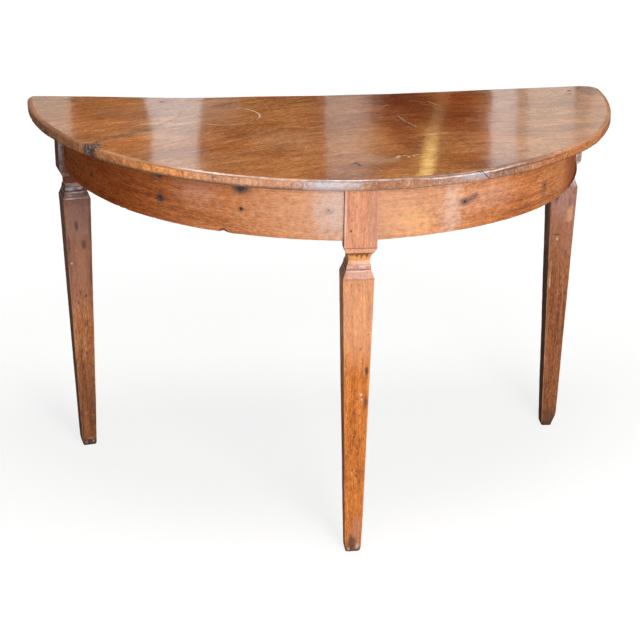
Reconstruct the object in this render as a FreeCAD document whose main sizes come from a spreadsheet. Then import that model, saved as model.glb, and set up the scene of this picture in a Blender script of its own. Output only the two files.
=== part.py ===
import FreeCAD, Part
import os
import Sketcher

# A half-round wall table: a top of two glued boards on a front leg, two rear legs, two curved
# rails, a straight back rail and a medial bearer, with glue blocks, nails and pegs.
# Millimetres. X runs along the back edge, Y towards the wall, Z up. The origin is on the floor,
# under the middle of the table's box.

# Driving dimensions
SIZES = {
    "table_height": 760,
    "top_radius": 602,
    "top_depth": 597,
    "top_thickness": 20,
    "top_corner_radius": 14,
    "top_upper_ease": 3,
    "top_lower_ease": 2,
    "rear_board_depth": 322,
    "front_overhang": 25,
    "back_overhang": 8,
    "side_overhang": 61,
    "stile_width": 60,
    "stile_drop": 18,
    "bevel_width": 50.6,
    "bevel_height": 11,
    "cove_top_width": 48.2,
    "cove_height": 22.5,
    "cove_radius": 27,
    "neck_width": 41,
    "bead_height": 9.5,
    "bead_radius": 13.4,
    "bead_width": 44.4,
    "fillet_width": 46,
    "fillet_height": 1.5,
    "shoulder_height": 8.5,
    "lip_width": 52.6,
    "lip_height": 6,
    "shaft_width": 57,
    "foot_width": 31,
    "foot_ease": 2,
    "apron_height": 96,
    "apron_setback": 3,
    "rail_end_setback": 15.6,
    "rail_thickness": 26,
    "back_rail_thickness": 24,
    "bearer_thickness": 24,
    "bearer_height": 60,
    "tenon_thickness": 9,
    "tenon_upper_margin": 18,
    "tenon_lower_margin": 10,
    "rail_front_tenon": 22,
    "rail_rear_tenon": 22,
    "back_rail_tenon": 22,
    "bearer_tenon": 14,
    "mortise_clearance": 0.2,
    "mortise_end_clearance": 1,
    "block_width": 44,
    "block_depth": 30,
    "block_height": 84,
    "corner_block_side": 24,
    "left_rear_angle": 64.2,
    "left_middle_angle": 41.5,
    "left_front_angle": 23.3,
    "left_stile_angle": 6.3,
    "right_front_angle": 21.4,
    "right_middle_angle": 44.3,
    "right_rear_angle": 64.2,
    "upper_nail_drop": 13,
    "lower_nail_drop": 54,
    "rear_nail_drop": 60,
    "single_nail_drop": 44,
    "nail_head_width": 9,
    "nail_head_height": 2.2,
    "nail_crown_width": 3,
    "nail_shank_width": 4,
    "nail_tip_width": 1.2,
    "nail_length": 44,
    "top_nail_length": 58,
    "top_nail_head_depth": 1.6,
    "bearer_nail_offset": 10,
    "back_nail_spacing": 664,
    "peg_diameter": 7,
    "peg_reach": 8,
    "peg_spacing": 34,
}

# The curved rails' arc, through the middle of the front and through each rail's outer end
ARC_SIZES = {
    "rail_end_x": "=top_radius - side_overhang - rail_end_setback",
    "rail_run": "=top_depth - front_overhang - apron_setback - back_overhang - stile_width",
    "apron_radius": "=(rail_end_x^2 + rail_run^2) / (2 * rail_run)",
}

doc = FreeCAD.newDocument("demilune_table")
sheet = doc.addObject("Spreadsheet::Sheet", "sizes")
for row, (alias, value) in enumerate([*SIZES.items(), *ARC_SIZES.items()], start=1):
    sheet.set("A%d" % row, alias)
    sheet.set("B%d" % row, str(value))
    sheet.setAlias("B%d" % row, alias)
doc.recompute()

# Levels and faces that the pieces share, worked out from the driving dimensions
UNDERSIDE = "(sizes.table_height - sizes.top_thickness)"
APRON_BOTTOM = "(%s - sizes.apron_height)" % UNDERSIDE
STILE_BOTTOM = "(%s - sizes.stile_drop)" % APRON_BOTTOM
TENON_BOTTOM = "(%s + sizes.tenon_lower_margin)" % APRON_BOTTOM
TENON_TOP = "(%s - sizes.tenon_upper_margin)" % UNDERSIDE
BACK_EDGE = "(sizes.top_depth / 2)"
FRONT_EDGE = "(-sizes.top_depth / 2)"
TOP_ARC_Y = "(sizes.top_radius - sizes.top_depth / 2)"
SEAM_Y = "(%s - sizes.rear_board_depth)" % BACK_EDGE
HALF_STILE = "(sizes.stile_width / 2)"
FRONT_LEG_FACE = "(sizes.front_overhang - sizes.top_depth / 2)"
FRONT_LEG_Y = "(%s + %s)" % (FRONT_LEG_FACE, HALF_STILE)
FRONT_LEG_REAR = "(%s + sizes.stile_width)" % FRONT_LEG_FACE
REAR_LEG_OUTER = "(sizes.top_radius - sizes.side_overhang)"
REAR_LEG_X = "(%s - %s)" % (REAR_LEG_OUTER, HALF_STILE)
REAR_LEG_INNER = "(%s - sizes.stile_width)" % REAR_LEG_OUTER
REAR_LEG_BACK = "(%s - sizes.back_overhang)" % BACK_EDGE
REAR_LEG_Y = "(%s - %s)" % (REAR_LEG_BACK, HALF_STILE)
REAR_LEG_FRONT = "(%s - sizes.stile_width)" % REAR_LEG_BACK
BACK_RAIL_FRONT = "(%s - sizes.back_rail_thickness / 2)" % REAR_LEG_Y
APRON_ARC_Y = "(%s + sizes.apron_setback + sizes.apron_radius)" % FRONT_LEG_FACE
RAIL_INNER_RADIUS = "(sizes.apron_radius - sizes.rail_thickness)"
RAIL_MIDDLE_RADIUS = "(sizes.apron_radius - sizes.rail_thickness / 2)"
SIDES = {"left": -1, "right": 1}


# A position on the curved rails' arc: the y at a given x, and the x at a given y
def arc_y(radius, x):
    return "(%s - sqrt((%s)^2 - (%s)^2))" % (APRON_ARC_Y, radius, x)


def arc_x(radius, y):
    return "sqrt((%s)^2 - (%s - %s)^2)" % (radius, y, APRON_ARC_Y)


HALF_TENON = "sizes.tenon_thickness / 2"
RAIL_TENON_X = arc_x(RAIL_MIDDLE_RADIUS, REAR_LEG_FRONT)


def value_of(expression):
    return float(sheet.evalExpression(expression))


def bind(item, **expressions):
    for path, expression in expressions.items():
        item.setExpression(path, expression)


def place(item, x="0", y="0", z="0"):
    item.setExpression("Placement.Base.x", x)
    item.setExpression("Placement.Base.y", y)
    item.setExpression("Placement.Base.z", z)


def turn_about_vertical(item, angle):
    item.Placement = FreeCAD.Placement(FreeCAD.Vector(), FreeCAD.Rotation(FreeCAD.Vector(0, 0, 1), 0))
    item.setExpression("Placement.Rotation.Angle", angle)


def sketch_on(body, name, role, height="0"):
    sketch = body.newObject("Sketcher::SketchObject", name)
    plane = [feature for feature in body.Origin.OriginFeatures if feature.Role == role][0]
    sketch.AttachmentSupport = [(plane, "")]
    sketch.MapMode = "FlatFace"
    sketch.setExpression("AttachmentOffset.Base.z", height)
    return sketch


# The middle of the arc of a given radius between two points, bulging to the right of the way
# from start to end where bulge is 1, and to the left where it is -1
def arc_middle(start, end, radius, bulge):
    chord = end - start
    across = FreeCAD.Vector(chord.y, -chord.x, 0).normalize()
    half = chord.Length / 2
    rise = radius - (radius ** 2 - half ** 2) ** 0.5
    return (start + end) / 2 + across * rise * bulge


# A closed outline. Each corner is x, y, and for an edge that arrives as an arc its radius and bulge.
# Every corner's place and every radius is bound to the driving dimensions.
def draw(sketch, corners):
    points = [FreeCAD.Vector(value_of(corner[0]), value_of(corner[1]), 0) for corner in corners]
    count = len(corners)
    starts = []
    ends = []
    for index in range(count):
        start = points[index]
        end = points[(index + 1) % count]
        arrival = corners[(index + 1) % count][2:]
        if not arrival:
            sketch.addGeometry(Part.LineSegment(start, end))
            starts.append(1)
            ends.append(2)
            continue
        radius, bulge = arrival
        middle = arc_middle(start, end, value_of(radius), bulge)
        way = [start, middle, end] if bulge > 0 else [end, middle, start]
        edge = sketch.addGeometry(Part.Arc(*way))
        starts.append(1 if bulge > 0 else 2)
        ends.append(2 if bulge > 0 else 1)
        rule = sketch.addConstraint(Sketcher.Constraint("Radius", edge, value_of(radius)))
        sketch.setExpression("Constraints[%d]" % rule, radius)
    first = sketch.GeometryCount - count
    for index in range(count):
        edge = first + index
        following = (index + 1) % count
        sketch.addConstraint(
            Sketcher.Constraint("Coincident", edge, ends[index], first + following, starts[following]))
        for kind, expression, number in (("DistanceX", corners[index][0], points[index].x),
                                         ("DistanceY", corners[index][1], points[index].y)):
            rule = sketch.addConstraint(
                Sketcher.Constraint(kind, -1, 1, edge, starts[index], number))
            sketch.setExpression("Constraints[%d]" % rule, expression)


def pad(body, sketch, length, both_ways=False):
    feature = body.newObject("PartDesign::Pad", sketch.Name + "_pad")
    feature.Profile = sketch
    feature.Midplane = both_ways
    feature.setExpression("Length", length)
    return feature


def new_body(name):
    return doc.addObject("PartDesign::Body", name)


# A box from its lowest corner and its three lengths
def box(name, corner, lengths):
    item = doc.addObject("Part::Box", name)
    bind(item, Length=lengths[0], Width=lengths[1], Height=lengths[2])
    place(item, *corner)
    return item


# The same box on the other side of the table's middle plane where side is -1
def side_box(name, side, corner, lengths):
    if side < 0:
        corner = ("-(%s) - (%s)" % (corner[0], lengths[0]), corner[1], corner[2])
    return box(name, corner, lengths)


# A tenon and the mortise that takes it, from one corner and one set of lengths.
# The mortise is wider by the cheek clearance and deeper, along the given axis, by the end clearance.
def tenon_and_mortise(name, side, corner, lengths, axis):
    gaps = ["sizes.mortise_clearance"] * 3
    gaps[axis] = "sizes.mortise_end_clearance"
    wide_corner = tuple("%s - %s" % pair for pair in zip(corner, gaps))
    wide_lengths = tuple("%s + 2 * %s" % pair for pair in zip(lengths, gaps))
    tenon = side_box(name + "_tenon", side, corner, lengths)
    mortise = side_box(name + "_mortise", side, wide_corner, wide_lengths)
    return tenon, mortise


def fuse(name, base, additions):
    item = doc.addObject("Part::MultiFuse", name)
    item.Shapes = [base] + additions
    return item


cuts = []


# The base with each tool's shape taken out of it in turn
def cut(name, base, tools):
    for index, tool in enumerate(tools):
        last = index == len(tools) - 1
        item = doc.addObject("Part::Cut", name if last else "%s_cut_%d" % (name, index + 1))
        item.Base = base
        item.Tool = tool
        cuts.append(item)
        base = item
    return base


def group(name, members):
    item = doc.addObject("Part::Compound", name)
    item.Links = members
    return item


# Top: a half-round panel with rounded rear corners and eased edges, then parted along the glue line
# into two boards whose grain runs along the back edge
def ease_edges(body, level, size, name):
    doc.recompute()
    height = value_of(level)
    tip = body.Tip
    rim = []
    for index, edge in enumerate(tip.Shape.Edges, start=1):
        if all(abs(vertex.Z - height) < 1e-4 for vertex in edge.Vertexes):
            rim.append("Edge%d" % index)
    feature = body.newObject("PartDesign::Chamfer", name)
    feature.Base = (tip, rim)
    feature.setExpression("Size", size)


def top_panel():
    rise = "(%s - sizes.top_corner_radius - %s)" % (BACK_EDGE, TOP_ARC_Y)
    reach = "(sizes.top_radius - sizes.top_corner_radius)"
    corner_x = "sqrt(%s^2 - %s^2)" % (reach, rise)
    rim_end_x = "%s * sizes.top_radius / %s" % (corner_x, reach)
    rim_end_y = "%s + %s * sizes.top_radius / %s" % (TOP_ARC_Y, rise, reach)
    body = new_body("top_panel")
    sketch = sketch_on(body, "top_outline", "XY_Plane", UNDERSIDE)
    draw(sketch, [
        ("0", FRONT_EDGE, "sizes.top_radius", 1),
        (rim_end_x, rim_end_y, "sizes.top_radius", 1),
        (corner_x, BACK_EDGE, "sizes.top_corner_radius", 1),
        ("-" + corner_x, BACK_EDGE),
        ("-" + rim_end_x, rim_end_y, "sizes.top_corner_radius", 1),
    ])
    pad(body, sketch, "sizes.top_thickness")
    ease_edges(body, "sizes.table_height", "sizes.top_upper_ease", "top_upper_ease")
    ease_edges(body, UNDERSIDE, "sizes.top_lower_ease", "top_lower_ease")
    return body


def top_board(name, panel, start_y, depth):
    slab = box(name + "_slab", ("-sizes.top_radius", start_y, UNDERSIDE),
               ("2 * sizes.top_radius", depth, "sizes.top_thickness"))
    item = doc.addObject("Part::Common", name + "_board")
    item.Base = panel
    item.Tool = slab
    return item


panel = top_panel()
rear_board = top_board("top_rear", panel, SEAM_Y, "sizes.rear_board_depth")
front_board = top_board("top_front", panel, FRONT_EDGE, "sizes.top_depth - sizes.rear_board_depth")


# Legs: a square stile, a moulded neck worked alike on all four faces, and a tapered shaft.
# The neck steps down from the stile as bevel, quirk, cove, bead, fillet, shoulder and lip.
def leg_side():
    shaft_top = STILE_BOTTOM
    for step in ("bevel", "cove", "bead", "fillet", "shoulder", "lip"):
        shaft_top = "(%s - sizes.%s_height)" % (shaft_top, step)
    lip_top = "(%s + sizes.lip_height)" % shaft_top
    shoulder_top = "(%s + sizes.shoulder_height)" % lip_top
    fillet_top = "(%s + sizes.fillet_height)" % shoulder_top
    bead_top = "(%s + sizes.bead_height)" % fillet_top
    cove_top = "(%s + sizes.cove_height)" % bead_top
    return [
        ("sizes.foot_width / 2 - sizes.foot_ease", "0"),
        ("sizes.foot_width / 2", "sizes.foot_ease"),
        ("sizes.shaft_width / 2", shaft_top),
        ("sizes.lip_width / 2", lip_top),
        ("sizes.fillet_width / 2", shoulder_top),
        ("sizes.fillet_width / 2", fillet_top),
        ("sizes.bead_width / 2", fillet_top),
        ("sizes.neck_width / 2", bead_top, "sizes.bead_radius", 1),
        ("sizes.cove_top_width / 2", cove_top, "sizes.cove_radius", -1),
        ("sizes.bevel_width / 2", cove_top),
        (HALF_STILE, STILE_BOTTOM),
        (HALF_STILE, UNDERSIDE),
    ]


# The outline of both edges of a leg: up the right side, then down the left one.
# An arc arrives at the other of its two corners on the way down.
def leg_outline():
    right = leg_side()
    arcs = [corner[2:] for corner in right[1:]] + [()]
    left = [("-(%s)" % corner[0], corner[1]) + arc for corner, arc in zip(right, arcs)]
    return right + left[::-1]


def leg_blank(name, x, y):
    halves = []
    for role in ("XZ_Plane", "YZ_Plane"):
        body = new_body("%s_%s" % (name, role[:2].lower()))
        sketch = sketch_on(body, "%s_%s_outline" % (name, role[:2].lower()), role)
        draw(sketch, leg_outline())
        pad(body, sketch, "sizes.stile_width", both_ways=True)
        place(body, x, y)
        halves.append(body)
    blank = doc.addObject("Part::Common", name + "_blank")
    blank.Base, blank.Tool = halves
    return blank


# A square bar along Y that tapers from one width to another, centred on x = 0 and on its level
def tapered_bar(name, start, end, start_width, end_width, level="0"):
    item = doc.addObject("Part::Wedge", name)
    bind(item, Ymin=start, Ymax=end)
    for prefix, width in (("", start_width), ("2", end_width)):
        item.setExpression("X%smin" % prefix, "-%s / 2" % width)
        item.setExpression("X%smax" % prefix, "%s / 2" % width)
        item.setExpression("Z%smin" % prefix, "%s - %s / 2" % (level, width))
        item.setExpression("Z%smax" % prefix, "%s + %s / 2" % (level, width))
    return item


# Nails: forged, with a square tapering shank. A rail nail has a low faceted head and lies on a
# radius of the curved rails, drawn at the front and turned about the arc's centre.
def rail_nail(name, angle, drop):
    level = "(%s - %s)" % (UNDERSIDE, drop)
    seat = "-sizes.apron_radius"
    crown = "-sizes.apron_radius - sizes.nail_head_height"
    tip = "sizes.nail_length - sizes.apron_radius"
    head = tapered_bar(name + "_head", crown, seat,
                       "sizes.nail_crown_width", "sizes.nail_head_width", level)
    shank = tapered_bar(name + "_shank", seat, tip,
                        "sizes.nail_shank_width", "sizes.nail_tip_width", level)
    for item in (head, shank):
        turn_about_vertical(item, angle)
        place(item, "0", APRON_ARC_Y)
    return fuse(name, head, [shank])


# A top nail stands upright with its flat head flush in the top
def top_nail(name, x, y):
    seat = "sizes.table_height - sizes.top_nail_head_depth"
    tip = "sizes.table_height - sizes.top_nail_length"
    width = "sizes.nail_head_width"
    head = tapered_bar(name + "_head", seat, "sizes.table_height", width, width)
    shank = tapered_bar(name + "_shank", tip, seat, "sizes.nail_tip_width", "sizes.nail_shank_width")
    for item in (head, shank):
        item.Placement.Rotation = FreeCAD.Rotation(FreeCAD.Vector(1, 0, 0), 90)
        place(item, x, y)
    return fuse(name, head, [shank])


RAIL_NAILS = {
    "left_rear_block": [("left_rear_nail", "360 - sizes.left_rear_angle", "sizes.rear_nail_drop")],
    "left_middle_block": [
        ("left_middle_upper_nail", "360 - sizes.left_middle_angle", "sizes.upper_nail_drop"),
        ("left_middle_lower_nail", "360 - sizes.left_middle_angle", "sizes.lower_nail_drop")],
    "left_front_block": [
        ("left_front_upper_nail", "360 - sizes.left_front_angle", "sizes.upper_nail_drop"),
        ("left_front_lower_nail", "360 - sizes.left_front_angle", "sizes.lower_nail_drop")],
    "left_stile_block": [
        ("left_stile_nail", "360 - sizes.left_stile_angle", "sizes.single_nail_drop")],
    "right_front_block": [
        ("right_front_nail", "sizes.right_front_angle", "sizes.single_nail_drop")],
    "right_middle_block": [
        ("right_middle_upper_nail", "sizes.right_middle_angle", "sizes.upper_nail_drop"),
        ("right_middle_lower_nail", "sizes.right_middle_angle", "sizes.lower_nail_drop")],
    "right_rear_block": [],
    "right_stile_block": [],
}
block_nails = {block: [rail_nail(*nail) for nail in nails] for block, nails in RAIL_NAILS.items()}

BACK_NAIL_X = "sizes.back_nail_spacing / 2"
bearer_top_nail = top_nail("bearer_top_nail", "0", "%s + sizes.bearer_nail_offset" % FRONT_LEG_REAR)
stile_top_nails = {
    "left": top_nail("left_top_nail", "-" + REAR_LEG_X, REAR_LEG_Y),
    "right": top_nail("right_top_nail", REAR_LEG_X, REAR_LEG_Y),
}
back_top_nails = [
    top_nail("left_back_nail", "-" + BACK_NAIL_X, REAR_LEG_Y),
    top_nail("right_back_nail", BACK_NAIL_X, REAR_LEG_Y),
]


# Pegs: two through each tenon of the rear legs, driven flush from outside and a little past the tenon
def peg_pair(name, axis, turn, start, length):
    pegs = []
    for step in (-1, 1):
        item = doc.addObject("Part::Cylinder", "%s_%s" % (name, "lower" if step < 0 else "upper"))
        bind(item, Radius="sizes.peg_diameter / 2", Height=length)
        item.Placement.Rotation = FreeCAD.Rotation(axis, turn)
        place(item, start[0], start[1], peg_level(step))
        pegs.append(item)
    return pegs


def pegs_along_x(name, side):
    length = "%s - %s + %s + sizes.peg_reach" % (REAR_LEG_OUTER, RAIL_TENON_X, HALF_TENON)
    start = "%s - (%s)" % (REAR_LEG_OUTER, length) if side > 0 else "-" + REAR_LEG_OUTER
    level_y = "%s + sizes.rail_rear_tenon / 2" % REAR_LEG_FRONT
    return peg_pair(name, FreeCAD.Vector(0, 1, 0), 90, (start, level_y), length)


def pegs_along_y(name, side):
    length = "%s + %s + sizes.peg_reach" % (HALF_STILE, HALF_TENON)
    across = "%d * (%s + sizes.back_rail_tenon / 2)" % (side, REAR_LEG_INNER)
    start = "%s - (%s)" % (REAR_LEG_BACK, length)
    return peg_pair(name, FreeCAD.Vector(1, 0, 0), -90, (across, start), length)


def peg_level(step):
    return "(%s + %s) / 2 + %d * sizes.peg_spacing / 2" % (TENON_BOTTOM, TENON_TOP, step)


# Tenons and mortises of the six joints of the frame, with those of the bearer
TENON_HEIGHT = "(%s - %s)" % (TENON_TOP, TENON_BOTTOM)
tenons = {}
mortises = {}
pegs = {}
for side_name, side in SIDES.items():
    front_name = side_name + "_rail_front"
    tenons[front_name], mortises[front_name] = tenon_and_mortise(
        front_name, side,
        ("%s - sizes.rail_front_tenon" % HALF_STILE,
         "%s - %s" % (arc_y(RAIL_MIDDLE_RADIUS, HALF_STILE), HALF_TENON), TENON_BOTTOM),
        ("sizes.rail_front_tenon", "sizes.tenon_thickness", TENON_HEIGHT), 0)
    rear_name = side_name + "_rail_rear"
    tenons[rear_name], mortises[rear_name] = tenon_and_mortise(
        rear_name, side,
        ("%s - %s" % (RAIL_TENON_X, HALF_TENON), REAR_LEG_FRONT, TENON_BOTTOM),
        ("sizes.tenon_thickness", "sizes.rail_rear_tenon", TENON_HEIGHT), 1)
    back_name = side_name + "_back_rail"
    tenons[back_name], mortises[back_name] = tenon_and_mortise(
        back_name, side,
        (REAR_LEG_INNER, "%s - %s" % (REAR_LEG_Y, HALF_TENON), TENON_BOTTOM),
        ("sizes.back_rail_tenon", "sizes.tenon_thickness", TENON_HEIGHT), 0)
    pegs[side_name + "_rail"] = pegs_along_x(side_name + "_rail_peg", side)
    pegs[side_name + "_back"] = pegs_along_y(side_name + "_back_peg", side)

BEARER_BOTTOM = "(%s - sizes.bearer_height)" % UNDERSIDE
BEARER_TENON_BOTTOM = "(%s + sizes.tenon_lower_margin)" % BEARER_BOTTOM
BEARER_TENON_SIZE = ("sizes.tenon_thickness", "sizes.bearer_tenon",
                     "%s - %s" % (TENON_TOP, BEARER_TENON_BOTTOM))
for end_name, start_y in (("bearer_front", "%s - sizes.bearer_tenon" % FRONT_LEG_REAR),
                          ("bearer_back", BACK_RAIL_FRONT)):
    tenons[end_name], mortises[end_name] = tenon_and_mortise(
        end_name, 1, ("-" + HALF_TENON, start_y, BEARER_TENON_BOTTOM), BEARER_TENON_SIZE, 1)

nodes = {}
nodes["front_leg"] = cut("front_leg", leg_blank("front_leg", "0", FRONT_LEG_Y), [
    mortises["left_rail_front"], mortises["right_rail_front"], mortises["bearer_front"]])
for side_name, side in SIDES.items():
    leg_name = side_name + "_rear_leg"
    leg_x = "%d * %s" % (side, REAR_LEG_X)
    nodes[leg_name] = cut(leg_name, leg_blank(leg_name, leg_x, REAR_LEG_Y), [
        mortises[side_name + "_rail_rear"], mortises[side_name + "_back_rail"],
        *pegs[side_name + "_rail"], *pegs[side_name + "_back"], stile_top_nails[side_name]])

nodes["top_rear_board"] = cut("top_rear_board", rear_board, [
    stile_top_nails["left"], stile_top_nails["right"], *back_top_nails])
nodes["top_front_board"] = cut("top_front_board", front_board, [bearer_top_nail])


# Curved rails: sawn to the arc, shouldered against the front stile's side and the rear stile's face
def curved_rail(side_name, side):
    name = side_name + "_curved_rail"
    body = new_body(name + "_body")
    sketch = sketch_on(body, name + "_outline", "XY_Plane", APRON_BOTTOM)
    front_x = "%d * %s" % (side, HALF_STILE)
    outer = "sizes.apron_radius"
    inner = RAIL_INNER_RADIUS
    draw(sketch, [
        (front_x, arc_y(outer, HALF_STILE)),
        ("%d * %s" % (side, arc_x(outer, REAR_LEG_FRONT)), REAR_LEG_FRONT, outer, side),
        ("%d * %s" % (side, arc_x(inner, REAR_LEG_FRONT)), REAR_LEG_FRONT),
        (front_x, arc_y(inner, HALF_STILE), inner, -side),
    ])
    pad(body, sketch, "sizes.apron_height")
    shaped = fuse(name + "_shaped", body, [
        tenons[side_name + "_rail_front"], tenons[side_name + "_rail_rear"]])
    nails = []
    for block, members in block_nails.items():
        if block.startswith(side_name):
            nails.extend(members)
    return cut(name, shaped, pegs[side_name + "_rail"] + nails)


for side_name, side in SIDES.items():
    nodes[side_name + "_curved_rail"] = curved_rail(side_name, side)

# Back rail, centred on the rear stiles, and the bearer from it to the front leg
back_rail_bar = box("back_rail_bar", ("-" + REAR_LEG_INNER, BACK_RAIL_FRONT, APRON_BOTTOM),
                    ("2 * " + REAR_LEG_INNER, "sizes.back_rail_thickness", "sizes.apron_height"))
back_rail_shaped = fuse("back_rail_shaped", back_rail_bar, [
    tenons["left_back_rail"], tenons["right_back_rail"]])
nodes["back_rail"] = cut("back_rail", back_rail_shaped, [
    mortises["bearer_back"], *pegs["left_back"], *pegs["right_back"], *back_top_nails])
bearer_bar = box("bearer_bar", ("-sizes.bearer_thickness / 2", FRONT_LEG_REAR, BEARER_BOTTOM),
                 ("sizes.bearer_thickness", "%s - %s" % (BACK_RAIL_FRONT, FRONT_LEG_REAR),
                  "sizes.bearer_height"))
bearer_shaped = fuse("bearer_shaped", bearer_bar, [tenons["bearer_front"], tenons["bearer_back"]])
nodes["medial_bearer"] = cut("medial_bearer", bearer_shaped, [bearer_top_nail])


# Glue blocks behind the curved rails, hollowed faces fitted to the rails' inner arc
def rail_block(name, angle):
    body = new_body(name + "_body")
    sketch = sketch_on(body, name + "_outline", "XY_Plane", "%s - sizes.block_height" % UNDERSIDE)
    half = "sizes.block_width / 2"
    face = "-sqrt(%s^2 - (%s)^2)" % (RAIL_INNER_RADIUS, half)
    rear = "sizes.block_depth - %s" % RAIL_INNER_RADIUS
    draw(sketch, [
        ("-" + half, face),
        (half, face, RAIL_INNER_RADIUS, 1),
        (half, rear),
        ("-" + half, rear),
    ])
    pad(body, sketch, "sizes.block_height")
    turn_about_vertical(body, angle)
    place(body, "0", APRON_ARC_Y)
    return body


# Glue blocks in the angles between the front stile and the curved rails
def stile_block(name, side):
    body = new_body(name + "_body")
    sketch = sketch_on(body, name + "_outline", "XY_Plane", "%s - sizes.block_height" % UNDERSIDE)
    far = "(%s + sizes.block_width)" % HALF_STILE
    draw(sketch, [
        ("%d * %s" % (side, HALF_STILE), arc_y(RAIL_INNER_RADIUS, HALF_STILE)),
        ("%d * %s" % (side, far), arc_y(RAIL_INNER_RADIUS, far), RAIL_INNER_RADIUS, side),
        ("%d * %s" % (side, far), FRONT_LEG_REAR),
        ("%d * %s" % (side, HALF_STILE), FRONT_LEG_REAR),
    ])
    pad(body, sketch, "sizes.block_height")
    return body


for side_name, side in SIDES.items():
    for position in ("rear", "middle", "front"):
        name = "%s_%s_block" % (side_name, position)
        angle = "sizes.%s_%s_angle" % (side_name, position)
        block = rail_block(name, angle if side > 0 else "360 - " + angle)
        nodes[name] = cut(name, block, block_nails[name]) if block_nails[name] else block
    name = side_name + "_stile_block"
    block = stile_block(name, side)
    nodes[name] = cut(name, block, block_nails[name]) if block_nails[name] else block
    name = side_name + "_corner_block"
    side_length = "sizes.corner_block_side"
    nodes[name] = side_box(
        name, side,
        ("%s - %s" % (REAR_LEG_INNER, side_length), "%s - %s" % (BACK_RAIL_FRONT, side_length),
         "%s - sizes.block_height" % UNDERSIDE),
        (side_length, side_length, "sizes.block_height"))
    nodes[side_name + "_leg_pegs"] = group(
        side_name + "_leg_pegs", pegs[side_name + "_rail"] + pegs[side_name + "_back"])

nodes["rail_nails"] = group("rail_nails", [nail for members in block_nails.values() for nail in members])
nodes["top_nails"] = group("top_nails", [bearer_top_nail, *stile_top_nails.values(), *back_top_nails])

# Checks, then one file for each piece
doc.recompute()
for item in doc.Objects:
    if "Invalid" in item.State or "Error" in item.State:
        raise RuntimeError("%s failed: %s" % (item.Name, item.State))
for item in cuts:
    if item.Base.Shape.Volume - item.Shape.Volume < 1:
        raise RuntimeError("%s took nothing out" % item.Name)
for name, item in nodes.items():
    item.Label = name
    if item.Shape.isNull() or not item.Shape.isValid():
        raise RuntimeError("%s has no valid shape" % name)

os.makedirs("parts", exist_ok=True)
for name, item in nodes.items():
    item.Shape.exportStep("parts/%s.step" % name)
    print("%-20s %d solids, %.1f cm3" % (name, len(item.Shape.Solids), item.Shape.Volume / 1000))
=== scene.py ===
import math

import bpy
import numpy as np
from mathutils import Matrix


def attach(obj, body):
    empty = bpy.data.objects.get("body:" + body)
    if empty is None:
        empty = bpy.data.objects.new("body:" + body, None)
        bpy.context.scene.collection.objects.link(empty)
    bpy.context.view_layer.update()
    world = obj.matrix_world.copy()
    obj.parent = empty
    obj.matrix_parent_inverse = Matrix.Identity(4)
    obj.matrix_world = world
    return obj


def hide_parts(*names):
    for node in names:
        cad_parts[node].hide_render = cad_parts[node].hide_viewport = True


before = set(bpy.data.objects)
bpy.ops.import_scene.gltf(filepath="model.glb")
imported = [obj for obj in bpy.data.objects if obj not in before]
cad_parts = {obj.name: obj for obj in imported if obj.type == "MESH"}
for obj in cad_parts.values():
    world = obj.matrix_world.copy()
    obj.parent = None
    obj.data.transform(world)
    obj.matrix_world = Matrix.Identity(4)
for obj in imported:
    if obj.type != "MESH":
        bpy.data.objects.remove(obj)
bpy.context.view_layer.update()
print("frame loaded,", len(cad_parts), "nodes")

mm = 0.001
latticePrimes = np.array([73856093, 19349663, 83492791])  # they scatter the numbers of softNoise


# numbers at the corners of a cubic lattice, blended with smooth steps: -1 to 1, one bump per size
def softNoise(place, size, seed):
    q = np.asarray(place, float) / size
    cell = np.floor(q).astype(np.int64)
    part = q - cell
    part = part * part * (3 - 2 * part)
    total = 0.0
    for corner in range(8):
        step = np.array([corner & 1, corner >> 1 & 1, corner >> 2 & 1])
        key = (cell + step) @ latticePrimes + seed * 97813
        key = (key ^ (key >> 13)) * 1274126177 & 0x7fffffff
        share = np.where(step == 1, part, 1 - part).prod(-1)
        total = total + share * ((key ^ (key >> 15)) & 0xffff) / 65535.0
    return total * 2 - 1


# a smooth step: 0 up to low, 1 from high on
def smooth(value, low, high):
    t = np.clip((value - low) / (high - low), 0, 1)
    return t * t * (3 - 2 * t)


# a bell round a middle: 1 there, falling off over the width
def bell(value, middle, width):
    return np.exp(-((value - middle) / width) ** 2)


# n places from 0 to 1 that crowd towards both ends
def crowded(n):
    return (1 - np.cos(np.linspace(0, np.pi, n))) / 2


# what each point carries for its material: how many numbers, the attribute's type and its field
pointData = {"grain": (3, "FLOAT_VECTOR", "vector"), "worn": (1, "FLOAT", "value"),
             "grime": (1, "FLOAT", "value")}


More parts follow.
